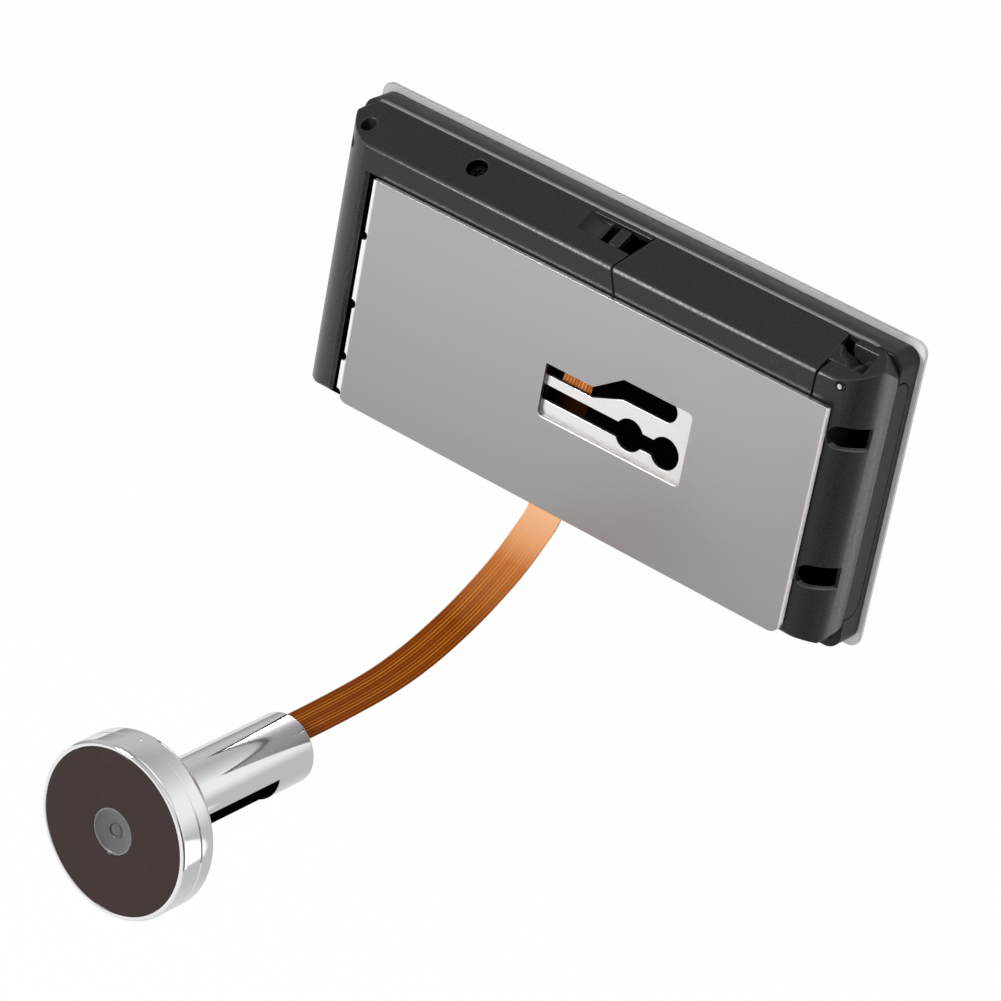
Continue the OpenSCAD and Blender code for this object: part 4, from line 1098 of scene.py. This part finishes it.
def add_card(name, place, target, size, shade):
    """A card beside the part, soft at its edges, that only shiny surfaces show."""
    shape = bmesh.new()
    bmesh.ops.create_grid(shape, x_segments=1, y_segments=1, size=0.5)
    layer = shape.loops.layers.uv.new("card")
    for corner in (loop for face in shape.faces for loop in face.loops):
        corner[layer].uv = (corner.vert.co.x + 0.5, corner.vert.co.y + 0.5)
    bmesh.ops.scale(shape, vec=(*size, 1), verts=shape.verts)
    facing = (Vector(target) - Vector(place)).to_track_quat("Z", "Y").to_matrix().to_4x4()
    bmesh.ops.transform(shape, matrix=Matrix.Translation(place) @ facing, verts=shape.verts)
    card = new_object(name, mesh_of(name, shape))
    finish = bpy.data.materials.new(name)
    finish.use_nodes = True
    tree = finish.node_tree
    glow = tree.nodes.new("ShaderNodeEmission")
    glow.inputs["Strength"].default_value = shade
    clear = tree.nodes.new("ShaderNodeBsdfTransparent")
    ball = tree.nodes.new("ShaderNodeTexGradient")
    ball.gradient_type = "SPHERICAL"
    mapping = tree.nodes.new("ShaderNodeMapping")
    mapping.inputs["Location"].default_value = (-1, -1, 0)
    mapping.inputs["Scale"].default_value = (2, 2, 0)
    across = tree.nodes.new("ShaderNodeUVMap")
    across.uv_map = "card"
    tree.links.new(across.outputs["UV"], mapping.inputs["Vector"])
    tree.links.new(mapping.outputs["Vector"], ball.inputs["Vector"])
    show_mix(tree, spread(tree, ball.outputs["Fac"], 0, 1, start=0, end=0.6), clear, glow)
    card.data.materials.append(finish)
    card.visible_camera = False
    card.visible_diffuse = False
    card.visible_shadow = False
    card.visible_transmission = False


add_floor()
add_room()
add_lamp("left_front_box", place=(-0.66, -1.05, 0.50), size=(0.26, 0.40), watts=11)
add_lamp("top_box", place=(0.1, 0.3, 1.4), size=(1.0, 1.0), watts=2)
add_card("bright_card_right", place=(0.72, 0.27, -0.36), target=(0.06, 0.01, 0),
         size=(0.62, 0.8), shade=5.0)
add_card("dark_card_right", place=(0.58, -0.50, -0.10), target=(0, -0.11, -0.055),
         size=(0.6, 1.4), shade=0.02)
bpy.context.scene.view_settings.view_transform = "Standard"
